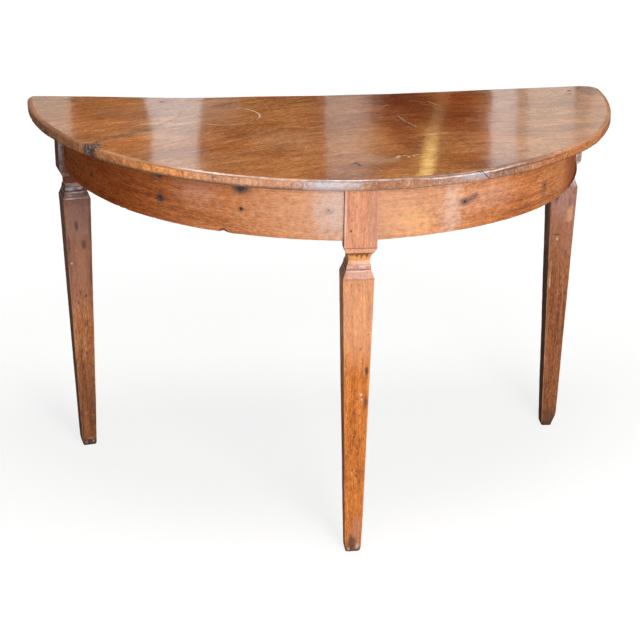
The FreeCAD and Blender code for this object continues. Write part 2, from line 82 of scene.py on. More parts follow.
# one object from several grids of points; each grid is closed round its columns and has a fan at each end.
# a sheet's "second" is 1 for the faces that take the second material
def buildPiece(name, sheets, materials, slot, *nodes):
    verts, faces, shares, extra = [], [], [], {key: [] for key in pointData}
    start = 0
    for sheet in sheets:
        points = sheet["points"]
        rows, cols = points.shape[:2]
        index = np.arange(rows * cols).reshape(rows, cols)
        turned = np.roll(index, -1, axis=1)
        quads = np.stack([index[:-1], turned[:-1], turned[1:], index[1:]], -1).reshape(-1, 4)
        first, last = rows * cols, rows * cols + 1
        fans = [np.stack([np.full(cols, first), turned[0], index[0]], -1),
                np.stack([np.full(cols, last), index[-1], turned[-1]], -1)]
        ends = [points[0].mean(0)[None], points[-1].mean(0)[None]]
        everything = np.concatenate([points.reshape(-1, 3)] + ends)
        a, b, c, d = (everything[quads[:, k]] for k in range(4))
        volume = (np.einsum("ij,ij->i", a, np.cross(b, c)) + np.einsum("ij,ij->i", a, np.cross(c, d))).sum()
        for fan in fans:
            p, q, r = (everything[fan[:, k]] for k in range(3))
            volume += np.einsum("ij,ij->i", p, np.cross(q, r)).sum()
        way = 1 if volume > 0 else -1  # faces point outwards
        for part in [quads] + fans:
            faces += (part[:, ::way] + start).tolist()
        shares += [sheet.get("second", np.zeros((rows - 1, cols))).ravel(), np.zeros(2 * cols)]
        verts.append(everything)
        for key, (width, _, _) in pointData.items():
            given = sheet.get(key, np.zeros((rows, cols, width)))
            given = np.asarray(given, float).reshape(rows, cols, width)
            ends = [given[0].mean(0)[None], given[-1].mean(0)[None]]
            extra[key].append(np.concatenate([given.reshape(-1, width)] + ends))
        start += len(everything)
    mesh = bpy.data.meshes.new(name)
    mesh.from_pydata((np.concatenate(verts) * mm).tolist(), [], faces)
    for key, (_, kind, field) in pointData.items():
        data = np.concatenate(extra[key]) * (mm if key == "grain" else 1)
        mesh.attributes.new(key, kind, "POINT").data.foreach_set(field, data.astype(np.float32).ravel())
    mesh.polygons.foreach_set("use_smooth", np.ones(len(mesh.polygons), bool))
    for material in materials:
        mesh.materials.append(material)
    mesh.polygons.foreach_set("material_index", np.concatenate(shares).astype(np.int32))
    piece = bpy.data.objects.new(name, mesh)
    bpy.context.scene.collection.objects.link(piece)
    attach(piece, "root")
    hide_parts(*nodes)
    print(name, len(mesh.polygons), "faces")
    return piece


# a socket with arithmetic: each operation adds one Math node
class Val:
    def __init__(self, net, sock):
        self.net = net
        self.sock = sock

    def math(self, operation, first, second):
        return self.net.put("ShaderNodeMath", {"operation": operation}, {0: first, 1: second})

    def __add__(self, other):
        return self.math("ADD", self, other)

    def __sub__(self, other):
        return self.math("SUBTRACT", self, other)

    def __mul__(self, other):
        return self.math("MULTIPLY", self, other)

    def __radd__(self, other):
        return self.math("ADD", other, self)

    def __rsub__(self, other):
        return self.math("SUBTRACT", other, self)

    def __rmul__(self, other):
        return self.math("MULTIPLY", other, self)

    def __or__(self, other):  # the larger of two masks
        return self.math("MAXIMUM", self, other)


class Net:
    def __init__(self, name, holder=None):
        self.material = holder or bpy.data.materials.new(name)
        self.material.use_nodes = True
        self.tree = self.material.node_tree
        self.tree.nodes.clear()

    # a node of this type, its settings first, then the values or links of its sockets
    def put(self, kind, settings, inputs, out=0):
        node = self.tree.nodes.new(kind)
        for key, value in settings.items():
            if key == "stops":
                while len(node.color_ramp.elements) < len(value):
                    node.color_ramp.elements.new(0.5)
                for element, (where, colour) in zip(node.color_ramp.elements, value):
                    element.position = where
                    element.color = (*colour, 1)
            else:
                setattr(node, key, value)
        for key, value in inputs.items():
            if isinstance(value, Val):
                self.tree.links.new(value.sock, node.inputs[key])
            else:
                node.inputs[key].default_value = value
        return Val(self, node.outputs[out]) if node.outputs else None

    def axis(self, place, name):
        return self.put("ShaderNodeSeparateXYZ", {}, {0: place}, name)

    def vector(self, operation, first, second, out=0):
        return self.put("ShaderNodeVectorMath", {"operation": operation}, {0: first, 1: second}, out)

    def noise(self, place, stretch, detail=2.0, roughness=0.55):
        inputs = {"Vector": self.vector("MULTIPLY", place, stretch), "Scale": 1.0,
                  "Detail": detail, "Roughness": roughness}
        return self.put("ShaderNodeTexNoise", {}, inputs, "Fac")

    def fade(self, value, low, high):
        return self.put("ShaderNodeMapRange", {"interpolation_type": "SMOOTHSTEP"},
                        {"Value": value, "From Min": low, "From Max": high})

    # noise cut to a mask: 0 at low, 1 at high
    def patches(self, place, stretch, detail, roughness, low, high):
        return self.fade(self.noise(place, stretch, detail, roughness), low, high)

    # 1 from full to last, 0 before begin and after end; another value may rule the upper end
    def band(self, value, begin, full, last, end, upper=None):
        return self.fade(value, begin, full) * self.fade(value if upper is None else upper, end, last)

    # the largest of several masks
    def anyOf(self, masks):
        total = None
        for mask in masks:
            total = mask if total is None else total | mask
        return total

    def tint(self, share, first, second, way="MIX"):
        first, second = ((*c, 1) if isinstance(c, tuple) else c for c in (first, second))
        settings = {"data_type": "RGBA", "blend_type": way}
        return self.put("ShaderNodeMix", settings, {0: share, 6: first, 7: second}, 2)

    # a mask's share of a tone over the colour
    def stain(self, colour, mask, share, tone, way="MIX"):
        return self.tint(mask * share, colour, tone, way)

    def ramp(self, value, stops):
        return self.put("ShaderNodeValToRGB", {"stops": stops}, {"Fac": value})

    # distance from a centre, in radii; a radius of None leaves that direction out
    def away(self, place, centre, radii):
        shrink = tuple(0.0 if r is None else 1 / (r * mm) for r in radii)
        shift = self.vector("SUBTRACT", place, tuple(c * mm for c in centre))
        shift = self.vector("MULTIPLY", shift, shrink)
        return self.put("ShaderNodeVectorMath", {"operation": "LENGTH"}, {0: shift}, "Value")

    # a ragged spot, 1 in the middle
    def blot(self, place, rag, centre, radii, core=0.4):
        return self.fade(self.away(place, centre, radii) + rag, 1.0, core)

    # the same from x and y alone, or from the first two directions of the place
    def flatBlot(self, place, rag, x, y, halfX, halfY, core=0.4):
        return self.blot(place, rag, (x, y, 0.0), (halfX, halfY, None), core)

    # a line from one point to another, of a given half width
    def stroke(self, place, rag, start, end, width):
        start = tuple(c * mm for c in start)
        run = tuple(e * mm - s for s, e in zip(start, end))
        square = sum(r * r for r in run)
        shift = self.vector("SUBTRACT", place, start)
        along = self.vector("DOT_PRODUCT", shift, tuple(r / square for r in run), "Value")
        along = self.put("ShaderNodeMath", {"operation": "MULTIPLY", "use_clamp": True}, {0: along, 1: 1.0})
        foot = self.put("ShaderNodeVectorMath", {"operation": "SCALE"}, {0: run, "Scale": along})
        gap = self.vector("DISTANCE", shift, foot, "Value")
        return self.fade(gap + rag * (width * mm), width * mm, width * mm * 0.3)

    # wax gives an even thin sheen, the same at every angle; dry takes the polish away where it is 1
    def finish(self, colour, roughness, height, distance, fixed, wax=0.0, dry=None):
        bump = self.put("ShaderNodeBump", {}, {"Strength": 1.0, "Distance": distance, "Height": height})
        same = {"Base Color": colour, "Roughness": roughness, "Normal": bump}
        shader = self.put("ShaderNodeBsdfPrincipled", {}, {**same, **fixed})
        if dry is not None:
            plain = self.put("ShaderNodeBsdfPrincipled", {}, {**same, "Specular IOR Level": 0.0})
            shader = self.put("ShaderNodeMixShader", {}, {0: dry, 1: shader, 2: plain})
        if wax != 0.0:
            mirror = {"Base Color": (0.9, 0.9, 0.9, 1), "Metallic": 1.0}
            sheen = self.put("ShaderNodeBsdfPrincipled", {}, {**same, **mirror})
            shader = self.put("ShaderNodeMixShader", {}, {0: wax, 1: shader, 2: sheen})
        self.put("ShaderNodeOutputMaterial", {}, {"Surface": shader})
        return self.material


# grain that every wood here shares: noise scales, places of the four tones, limits of pores and of red,
# rubbed parts and parts darkened by dirt and painted shade, shares of the red and of that darkening
woodGrain = {
    "gritScale": (170.0, 560.0, 560.0), "poreScale": (60.0, 760.0, 760.0), "ragScale": (95.0, 95.0, 95.0),
    "tonePlaces": (0.22, 0.45, 0.58, 0.80), "porePart": (0.58, 0.70), "redPart": (0.50, 0.70),
    "rubPart": (0.35, 0.95), "dirtAndShadePart": (0.15, 0.85), "redShare": 0.55, "dirtAndShadeShare": 0.82,
}


# old polished wood. Grain runs along the first of the place's three directions, in metres.
def woodMaterial(name, look, order=None, marks=None):
    net = Net(name)
    if order is None:
        place = net.put("ShaderNodeAttribute", {"attribute_name": "grain"}, {}, "Vector")
        worn = net.put("ShaderNodeAttribute", {"attribute_name": "worn"}, {}, "Fac")
        grime = net.put("ShaderNodeAttribute", {"attribute_name": "grime"}, {}, "Fac")
    else:
        place = net.put("ShaderNodeTexCoord", {}, {}, "Object")
        axes = {axis: net.axis(place, axis.upper()) for axis in "xyz"}
        place = net.put("ShaderNodeCombineXYZ", {}, {k: axes[axis] for k, axis in enumerate(order)})
        worn = grime = None
    grainPlace = place
    if "sweep" in look:  # grain that rises from left to right and levels out
        x, y, z = (net.axis(place, axis) for axis in "XYZ")
        start, stop, steep, flat = look["sweep"]
        slope = net.fade(x, start, stop) * (flat - steep) + steep
        grainPlace = net.put("ShaderNodeCombineXYZ", {}, {0: x + y * slope, 1: y - x * slope, 2: z})
    grainPlace = net.vector("ADD", grainPlace, look["shift"])
    bend = net.noise(grainPlace, look["swayScale"], 2.0) - 0.5
    sway = net.put("ShaderNodeCombineXYZ", {}, {0: 0.0, 1: bend * look["sway"], 2: bend * look["sway"]})
    swayed = net.vector("ADD", grainPlace, sway)
    drift = net.noise(grainPlace, look["driftScale"], 3.0)
    streak = net.noise(swayed, look["streakScale"], 4.0, 0.62)
    fibre = net.noise(swayed, look["fibreScale"], 3.0, 0.66)
    grit = net.noise(swayed, woodGrain["gritScale"], 2.0, 0.7)
    pore = net.fade(net.noise(swayed, woodGrain["poreScale"], 1.0), *woodGrain["porePart"])
    rag = net.noise(place, woodGrain["ragScale"], 3.0) - 0.5

    onStreak, onFibre, onDrift, onGrit = look["weights"]
    tone = (streak - 0.5) * onStreak + (fibre - 0.5) * onFibre
    tone = tone + (drift - 0.5) * onDrift + (grit - 0.5) * onGrit + 0.5
    fourTones = [look[key] for key in ("dark", "mid", "mid2", "light")]
    colour = net.ramp(tone, list(zip(woodGrain["tonePlaces"], fourTones)))
    colour = net.stain(colour, net.fade(drift, *woodGrain["redPart"]), woodGrain["redShare"], look["red"])
    colour = net.stain(colour, pore, look["pore"], look["poreTone"])
    rough = look["rough"] + (fibre - 0.5) * 0.12 + pore * 0.12
    height = fibre * 0.5 + streak * 0.3 - pore * 0.6
    if worn is not None:
        rub = net.fade(worn + rag * 0.7, *woodGrain["rubPart"])
        colour = net.stain(colour, rub, look["rub"], look["wornTone"])
        # the grime attribute darkens real dirt and painted shade alike
        dirtAndShade = net.fade(grime + rag * 0.5, *woodGrain["dirtAndShadePart"])
        colour = net.stain(colour, dirtAndShade, woodGrain["dirtAndShadeShare"], look["grimeAndShadeTone"])
        rough = rough + dirtAndShade * 0.2
    polish = {"wax": look["wax"]}
    if marks is not None:
        colour, rough, height, polish = marks(net, place, rag, colour, rough, height, polish)
    return net.finish(colour, rough, height, look["relief"], look["fixed"], **polish)


# the old top lies higher at its ends: the rise by the square of x over the half width, less a sag
topBow = {"rise": 8.0, "half": 602.0, "sag": 0.3}


def bow(x):
    return topBow["rise"] * (x / topBow["half"]) ** 2 - topBow["sag"]


# the table top
topSizes = {
    "radius": 602.0, "arcY": 303.5, "backY": 298.5, "seamY": -23.5, "corner": (14.0, 30.0), "thick": 20.0,
    "level": 760.0, "upperRound": 4.6, "lowerRound": 2.2, "step": 2.6, "rings": 34, "seamPoints": 160,
    "backPoints": 330, "middleY": 130.0, "ringReach": 0.985, "wearWidth": 9.0, "roughEnds": (330, 520),
    "rightRough": 0.45, "chip": (-475.0, -66.0), "chipWidth": 11.0, "chipDepth": 5.0,
}
# the right end falls short of the half circle: angle from the front in degrees, shortfall
rightEnd = [(50, 0), (54, 1.2), (58, 4), (62.7, 7), (67, 10), (71.7, 13), (75.8, 16), (80.6, 19.5),
            (85.5, 22.5), (90, 24.5)]
topLook = {
    "dark": (0.235, 0.072, 0.017), "mid": (0.365, 0.128, 0.036), "mid2": (0.460, 0.175, 0.053),
    "light": (0.680, 0.320, 0.125), "red": (0.330, 0.095, 0.023), "poreTone": (0.130, 0.040, 0.012),
    "pore": 0.22, "wornTone": (0.62, 0.33, 0.16), "rub": 0.6, "grimeAndShadeTone": (0.060, 0.026, 0.012),
    "shift": (0.31, 0.77, 0.13), "swayScale": (3.6, 5.0, 5.0), "sway": 0.10,
    "streakScale": (11.0, 62.0, 62.0), "fibreScale": (70.0, 250.0, 250.0), "driftScale": (3.4, 6.5, 6.5),
    "weights": (0.78, 0.9, 0.9, 0.75), "sweep": (-0.45, 0.36, 0.52, 0.06),
    "rough": 0.07, "relief": 0.00004, "wax": 0.0, "fixed": {"IOR": 1.5},
}
# in millimetres: spots and zones by place, half sizes and depth, lines by both ends and half width
topMarks = {
    "ring": (-214.0, 141.5, 70.0), "ringParts": [(58, 22, 34, 62, 1.0), (-4, -62, 60, 26, 0.6)],
    "knot": (-469, -66, 30, 24), "lined": (480, 90, 200, 300), "crackDepth": 0.62, "scratchDepth": 0.9,
    "hairDepth": 0.50, "hairLess": 0.42,  # hair lines fade out on the red parts
    "nailSpots": [(-332, 260.5, 0.7), (332, 260.5, 0.1), (0, -203.5, 0.3), (511, 260.5, 0.2),
                  (-511, 260.5, 0.2)],
    "darkSpots": [(391, 143, 9, 5, 0.45), (-519, 270, 20, 9, 0.3), (-310, 100, 16, 12, 0.3),
                  (126, -110, 12, 6, 0.75), (-95, 214, 12, 7, 0.35), (503, 238, 9, 12, 0.6),
                  (300, -100, 8, 4, 0.2), (4, -214, 8, 8, 0.4), (-128, -100, 12, 16, 0.2)],
    "dents": [(78, -170, 6, 3.5), (83, -162, 3.5, 5), (95, -158, 5, 2.2), (100, -166, 3, 4.5),
              (110, -160, 3, 5), (118, -154, 5, 2.2), (-2, -208, 4, 3)],
    "cracks": [(-462, -50, -445, -22, 6), (-445, -22, -412, 10, 3.5), (-400, 18, -362, 52, 2.6),
               (-452, -30, -400, -6, 2.5), (-410, 78, -340, 112, 2.2), (-345, 70, -318, 112, 1.4),
               (-306, 140, -268, 168, 1.4)],
    "smudges": [(-452, -34, -352, 56, 15)],
    "scratches": [(122, 114, 129, 72, 3.0), (129, 72, 143, 28, 3.4), (116, -98, 132, -112, 3.0),
                  (-2, -190, 8, -216, 1.7)],
    "paleLines": [(-395, 60, -335, 118, 1.6), (-420, 92, -355, 108, 1.4), (-372, 84, -318, 92, 1.6),
                  (-380, 30, -340, 40, 1.4), (-60, 40, 40, 96, 0.9), (30, 188, 52, 160, 1.2),
                  (128, 112, 135, 72, 1.3), (135, 72, 149, 30, 1.3), (205, 222, 226, 180, 1.5),
                  (186, 206, 216, 186, 1.1), (170, 232, 200, 214, 1.1), (120, 205, 96, 172, 1.0),
                  (250, 60, 280, 66, 1.4), (-330, 60, -270, 100, 1.6), (-300, 30, -262, 62, 1.4),
                  (-470, 30, -420, 66, 1.4), (-250, -60, -190, -30, 1.2), (-160, 10, -120, 44, 1.2),
                  (-210, -120, -150, -96, 1.2)],
    "warmZones": [(-240, -60, 110, 80, 0.40), (530, 150, 70, 90, 0.5), (205, -185, 60, 40, 0.4),
                  (290, -30, 70, 90, 0.35), (-440, 140, 150, 190, 0.55), (-400, -40, 120, 80, 0.4),
                  (265, 230, 70, 60, 0.5), (-110, 150, 110, 150, 0.15)],
    "redZones": [(205, 130, 185, 250, 0.90), (140, 235, 110, 80, 0.6), (552, 262, 40, 46, 0.85),
                 (-20, 245, 60, 60, 0.3), (122, -60, 55, 150, 0.6), (285, 258, 60, 40, 0.6),
                 (-205, 235, 34, 60, 0.35)],
    "paleZones": [(-420, 165, 75, 60, 0.10), (-110, -40, 90, 110, 0.10), (45, -180, 60, 50, 0.22),
                  (-215, 262, 40, 26, 0.30), (-345, 85, 80, 22, 0.30), (-390, 20, 70, 18, 0.25),
                  (-330, -10, 60, 18, 0.22)],
}
topTones = {
    "red": (0.54, 0.27, 0.09), "warm": (1.55, 1.40, 1.15), "pale": (0.66, 0.48, 0.33),
    "ring": (0.78, 0.58, 0.42), "crack": (0.085, 0.038, 0.022), "hair": (0.80, 0.50, 0.27),
}
# each mark's share and tone
topStains = {
    "paleLine": (0.5, (0.80, 0.58, 0.40)), "dent": (0.62, (0.86, 0.76, 0.66)),
    "smudge": (0.34, (0.13, 0.055, 0.030)), "spot": (0.85, (0.050, 0.034, 0.030)),
    "glint": (0.5, (0.60, 0.56, 0.54)), "grainLine": (0.62, (0.10, 0.042, 0.018)),
}
# noise by its stretch, detail and roughness; a mask cut from it also by its limits
topNoise = {
    "cloud": ((7.0, 7.0, 7.0), 3.0, 0.55), "wave": ((9.0, 14.0, 14.0), 2.0, 0.55),
    "ripple": ((62.0, 40.0, 40.0), 3.0, 0.62), "brush": ((13.0, 210.0, 100.0), 2.0, 0.7),
    "glint": ((330.0, 330.0, 200.0), 2.0, 0.7, 0.58, 0.68),
    "hairAlong": ((46.0, 300.0, 100.0), 3.0, 0.7, 0.60, 0.67),
    "hairAcross": ((260.0, 60.0, 100.0), 3.0, 0.7, 0.62, 0.68),
    "lines": ((9.0, 330.0, 100.0), 3.0, 0.7, 0.50, 0.64),
    "smear": ((7.0, 11.0, 11.0), 4.0, 0.6, 0.46, 0.72), "fineShift": (4.0, 2.0, 0.0),
}


# straight marks on the top
def topLines(net, place, rag, lines):
    z = topSizes["level"]
    return net.anyOf(net.stroke(place, rag, (x0, y0, z), (x1, y1, z), width)
                     for x0, y0, x1, y1, width in lines)


# the dark knot at the chip in the edge, and the glints in it, painted highlights
def knotMasks(net, place, rag):
    knot = net.flatBlot(place, rag * 1.8, *topMarks["knot"])
    return knot, net.patches(place, *topNoise["glint"])


# stained and worn parts of the top, the pale ring, cracks, scratches, spots and dents
def markTop(net, place, rag, colour, rough, height, polish):
    marks, tones = topMarks, topTones
    cloud = net.noise(place, *topNoise["cloud"]) - 0.5
    red = None
    for x, y, a, b, depth in marks["redZones"]:
        zone = net.flatBlot(place, cloud * 1.1, x, y, a, b, 0.25) * depth
        red = zone if red is None else red | zone
        colour = net.tint(zone, colour, tones["red"], "MULTIPLY")
    for x, y, a, b, depth in marks["warmZones"]:
        zone = net.flatBlot(place, cloud * 1.2, x, y, a, b, 0.2) * depth
        colour = net.tint(zone, colour, tones["warm"], "MULTIPLY")
    for x, y, a, b, depth in marks["paleZones"]:
        zone = net.flatBlot(place, cloud, x, y, a, b, 0.2) * depth
        colour = net.tint(zone, colour, tones["pale"])
    ringX, ringY, radius = marks["ring"]
    fromRing = net.away(place, (ringX, ringY, 0.0), (radius, radius, None)) - 1.0
    fromRing = net.put("ShaderNodeMath", {"operation": "ABSOLUTE"}, {0: fromRing})
    ring = net.fade(fromRing + rag * 0.02, 0.034, 0.012)
    shown = net.anyOf(net.flatBlot(place, rag, ringX + x, ringY + y, a, b) * share
                      for x, y, a, b, share in marks["ringParts"])
    colour = net.tint(ring * shown, colour, tones["ring"])
    crack = topLines(net, place, rag * 3.2, marks["cracks"])
    colour = net.stain(colour, topLines(net, place, rag * 1.5, marks["paleLines"]), *topStains["paleLine"])
    gouge = topLines(net, place, rag, marks["scratches"])
    knot, glint = knotMasks(net, place, rag)
    spot = knot * (1.0 - glint * 0.8)
    for x, y, a, b, depth in marks["darkSpots"]:
        spot = spot | net.flatBlot(place, rag * 1.5, x, y, a, b) * depth
    for x, y, depth in marks["nailSpots"]:
        spot = spot | net.flatBlot(place, rag * 1.2, x, y, 10, 8) * depth
    dent = net.anyOf(net.flatBlot(place, rag * 1.6, *one) for one in marks["dents"])
    colour = net.stain(colour, dent, *topStains["dent"])
    cut = (crack * marks["crackDepth"]) | (gouge * marks["scratchDepth"])
    colour = net.tint(cut, colour, tones["crack"])
    colour = net.stain(colour, topLines(net, place, rag * 2.2, marks["smudges"]), *topStains["smudge"])
    colour = net.stain(colour, spot, *topStains["spot"])
    # painted glints in the knot
    colour = net.stain(colour, knot * glint, *topStains["glint"])
    fine = net.vector("ADD", place, topNoise["fineShift"])
    hair = net.patches(fine, *topNoise["hairAlong"]) | net.patches(fine, *topNoise["hairAcross"]) * 0.4
    colour = net.tint(hair * (marks["hairDepth"] - red * marks["hairLess"]), colour, tones["hair"])
    lines = net.patches(fine, *topNoise["lines"]) * net.flatBlot(place, cloud, *marks["lined"], 0.3)
    colour = net.stain(colour, lines, *topStains["grainLine"])
    smear = net.patches(place, *topNoise["smear"])
    wave = net.noise(place, *topNoise["wave"])
    ripple = net.noise(place, *topNoise["ripple"])
    brush = net.noise(fine, *topNoise["brush"])
    height = height + wave * 6.0 + ripple * 1.2 + brush * 1.3 - (crack | gouge) * 4.0 - dent * 3.0
    rough = rough + (crack | spot | dent) * 0.15 + hair * 0.05 + smear * 0.025
    return colour, rough, height, polish


# tints, painted reflections and arris parts by place, half sizes, share and tone; gloss by place, half size
# and share
rimMarks = {
    "tones": [(-350, -186, 120, 110, (1.66, 1.84, 1.76)), (120, -286, 150, 60, (0.68, 0.67, 0.66)),
              (20, -298, 60, 40, (0.72, 0.66, 0.62)), (265, -237, 66, 70, (0.66, 0.70, 0.74)),
              (-206, -262, 54, 50, (1.2, 1.3, 1.35)), (400, -146, 60, 60, (0.90, 0.88, 0.86)),
              (-575, 100, 60, 130, (0.74, 0.66, 0.55)), (480, -60, 60, 60, (1.15, 1.15, 1.15))],
    "paintedGlares": [(-62, -295, 80, 54, 1.0, (0.50, 0.52, 0.585)), (204, -263, 66, 46, 0.8, (0.36, 0.38, 0.44)),
               (140, -281, 30, 20, 0.2, (0.40, 0.40, 0.46))],
    "arris": [(-530, 20, 120, 160, (0.72, 0.72, 0.68)), (-190, -265, 130, 60, (0.86, 0.94, 1.05)),
              (205, -264, 90, 60, (0.74, 0.80, 0.92)), (110, -288, 150, 60, (0.50, 0.55, 0.66)),
              (300, -218, 130, 110, (0.62, 0.68, 0.80)), (-50, -298, 90, 40, (0.62, 0.72, 0.90))],
    "gloss": [(-275, -232, 92, 0.93), (-30, -298, 60, 0.34), (190, -268, 66, 0.20)],
    "cracks": [((212, -259.5, 760.5), (231, -252.5, 741)), ((206, -261.5, 760.5), (214, -259.5, 754))],
    "ahead": (30, -300, 430, 330), "lowEdgeShade": (-300, -215, 330, 230),
}
rimTones = {"side": (1.32, 1.22, 1.15), "paintedArrisHighlight": (0.84, 0.76, 0.76)}
rimStains = {
    "ahead": (0.45, (0.46, 0.29, 0.23)), "dash": (0.66, (0.130, 0.045, 0.018)),
    "fleck": (0.42, (0.85, 0.52, 0.29)), "lowEdgeShade": (0.80, (0.150, 0.060, 0.030)),
    "arris": (0.35, (0.50, 0.32, 0.24)), "underLine": (0.85, (0.13, 0.052, 0.034)),
    "crack": (0.85, (0.045, 0.020, 0.014)),
}
rimNoise = {
    "dash": ((140.0, 140.0, 60.0), 4.0, 0.72, 0.50, 0.68),
    "fleck": ((240.0, 240.0, 150.0), 3.0, 0.7, 0.54, 0.66),
    "flick": ((75.0, 75.0, 40.0), 3.0, 0.65, 0.36, 0.62),
}
rimLevels = {"side": (0.7575, 0.7550), "lowEdgeShade": (0.7465, 0.7425), "frostyGlare": (0.7430, 0.7520)}  # metres
# the painted highlight line along the arris, in metres: its level, the steps in it from left to right, its
# limits across
paintedArrisHighlight = {
    "level": 0.7600, "steps": [(-0.21, -0.15, -0.0018), (0.075, 0.135, -0.0036), (0.235, 0.29, 0.0022)],
    "line": (-0.0016, -0.0008, 0.0008, 0.0016), "under": (-0.0058, -0.0046, -0.0030, -0.0018),
    "reach": (-0.345, -0.30, 0.25, 0.315), "middle": (-0.27, -0.19, 0.085, 0.135),
    "underReach": (0.20, 0.27, 0.34, 0.42), "front": (0.0, -0.08),
}


# a thin pale line painted on the arris as a highlight, lower towards the right, with a dark one under it
# there
def markArris(net, place, rag, colour, level):
    w = paintedArrisHighlight
    across = net.axis(place, "X")
    front = net.fade(net.axis(place, "Y"), *w["front"])
    ridge = w["level"]
    for start, stop, step in w["steps"]:
        ridge = ridge + net.fade(across, start, stop) * step
    above = level + rag * 0.002 - ridge
    line = net.band(above, *w["line"]) * net.band(across, *w["reach"]) * front
    share = net.patches(place, *rimNoise["flick"]) * 0.58 + 0.15
    share = share * (1.0 - net.band(across, *w["middle"]) * 0.62)
    colour = net.tint(line * share, colour, rimTones["paintedArrisHighlight"])
    under = net.band(above, *w["under"]) * net.band(across, *w["underReach"]) * front
    return net.stain(colour, under, *rimStains["underLine"])


# the rim: a dry side with dark dashes, painted shade along its lower edge and painted reflections on it,
# and a worn arris that shines in places and carries a painted highlight line
def markRim(net, place, rag, colour, rough, height, polish):
    level = net.axis(place, "Z")
    side = net.fade(level, *rimLevels["side"])
    dash = net.patches(place, *rimNoise["dash"])
    fleck = net.patches(place, *rimNoise["fleck"])
    ahead = net.flatBlot(place, rag, *rimMarks["ahead"], 0.55)
    colour = net.tint(side, colour, rimTones["side"], "MULTIPLY")
    colour = net.stain(colour, side * ahead, *rimStains["ahead"])
    for *spot, tone in rimMarks["tones"]:
        colour = net.tint(side * net.flatBlot(place, rag, *spot, 0.2), colour, tone, "MULTIPLY")
    colour = net.stain(colour, side * dash, *rimStains["dash"])
    colour = net.stain(colour, side * fleck, *rimStains["fleck"])
    # painted shade along the lower edge of the side
    lowEdgeShade = net.fade(level + rag * 0.006, *rimLevels["lowEdgeShade"])
    lowEdgeShade = lowEdgeShade * net.flatBlot(place, rag, *rimMarks["lowEdgeShade"], 0.6)
    colour = net.stain(colour, lowEdgeShade, *rimStains["lowEdgeShade"])
    # painted reflections on the side, broken up by the dashes
    for *spot, share, tone in rimMarks["paintedGlares"]:
        frostyGlare = net.flatBlot(place, rag * 1.4, *spot, 0.0) * (1.0 - dash * 0.75)
        frostyGlare = frostyGlare * (net.fade(level, *rimLevels["frostyGlare"]) * 0.6 + 0.4)
        colour = net.stain(colour, frostyGlare * side, share, tone)
    arris = 1.0 - side
    colour = net.stain(colour, arris, *rimStains["arris"])
    for *spot, tone in rimMarks["arris"]:
        colour = net.tint(arris * net.flatBlot(place, rag, *spot, 0.3), colour, tone, "MULTIPLY")
    glossy = net.anyOf(net.flatBlot(place, rag * 2.0, x, y, half, half, 0.2) * share
                       for x, y, half, share in rimMarks["gloss"])
    split = net.anyOf(net.stroke(place, rag * 2.5, start, end, 1.5) for start, end in rimMarks["cracks"])
    # the painted highlight along the arris
    colour = markArris(net, place, rag, colour, level)
    knot, glint = knotMasks(net, place, rag)
    colour = net.stain(colour, knot * (1.0 - glint * 0.8), *topStains["spot"])
    # painted glints in the knot
    colour = net.stain(colour, knot * glint, *topStains["glint"])
    colour = net.stain(colour, split, *rimStains["crack"])
    height = height - split * 4.0 - side * dash * 5.0
    dry = side | arris * (0.93 - glossy)
    return colour, rough + side * 0.20, height, {"wax": side * 0.030, "dry": dry}


# the shortfall moves the right end inwards along x
def shortened(outline):
    angle = np.degrees(np.arctan2(outline[:, 0], topSizes["arcY"] - outline[:, 1]))
    short = np.interp(angle, *np.array(rightEnd).T) / np.maximum(np.sin(np.radians(angle)), 0.5)
    return outline - np.stack([short * (outline[:, 0] > 0), 0 * short], 1)


# the back edge rises and falls a little, strongest at the wall: two dips and a rise across x
def backWarp(x, y):
    dip = 3.3 * bell(x, -290, 130) + 1.7 * bell(x, 0, 200) - 1.4 * smooth(x, 200, 400)
    return -dip * smooth(y, 20, 298)


# points along the top's arc, for angles from the front
def rimArc(turn):
    s = topSizes
    return np.stack([np.sin(turn) * s["radius"], s["arcY"] - np.cos(turn) * s["radius"]], 1)


# points of a line across the table at one y, without its two ends
def levelRun(start, stop, count, y):
    x = np.linspace(start, stop, count)[1:-1]
    return np.stack([x, np.full(len(x), y)], 1)


# outline of each board, and 1 for its points off the glue line: points along the rim arc,
# the rounded rear corners, the back edge and the glue line
def boardOutline(front):
    s = topSizes
    seamAngle = math.acos((s["arcY"] - s["seamY"]) / s["radius"])
    if front:
        turn = np.linspace(-seamAngle, seamAngle, int(2 * seamAngle * s["radius"] / s["step"]))
        rim = shortened(rimArc(turn))
        parts = [rim, levelRun(rim[-1, 0], rim[0, 0], s["seamPoints"], s["seamY"])]
    else:
        halves = []
        for corner in s["corner"]:
            reach = s["radius"] - corner
            rise = s["backY"] - corner - s["arcY"]
            cornerX = math.sqrt(reach ** 2 - rise ** 2)
            rimEnd = math.acos(-rise / reach)
            count = int((rimEnd - seamAngle) * s["radius"] / s["step"])
            rim = rimArc(np.linspace(seamAngle, rimEnd, count))
            bend = np.linspace(rimEnd - np.pi / 2, np.pi / 2, 12)[1:]
            cornerArc = np.stack([np.cos(bend), np.sin(bend)], 1) * corner + [cornerX, s["backY"] - corner]
            halves.append(np.concatenate([rim, cornerArc]))
        left, right = halves[0][::-1] * [-1, 1], shortened(halves[1])
        back = levelRun(right[-1, 0], left[0, 0], s["backPoints"], s["backY"])
        parts = [right, back, left, levelRun(left[-1, 0], right[0, 0], s["seamPoints"], s["seamY"])]
    outline = np.concatenate(parts)
    glued = len(parts[-1])
    return outline, np.concatenate([np.ones(len(outline) - glued), np.zeros(glued)])


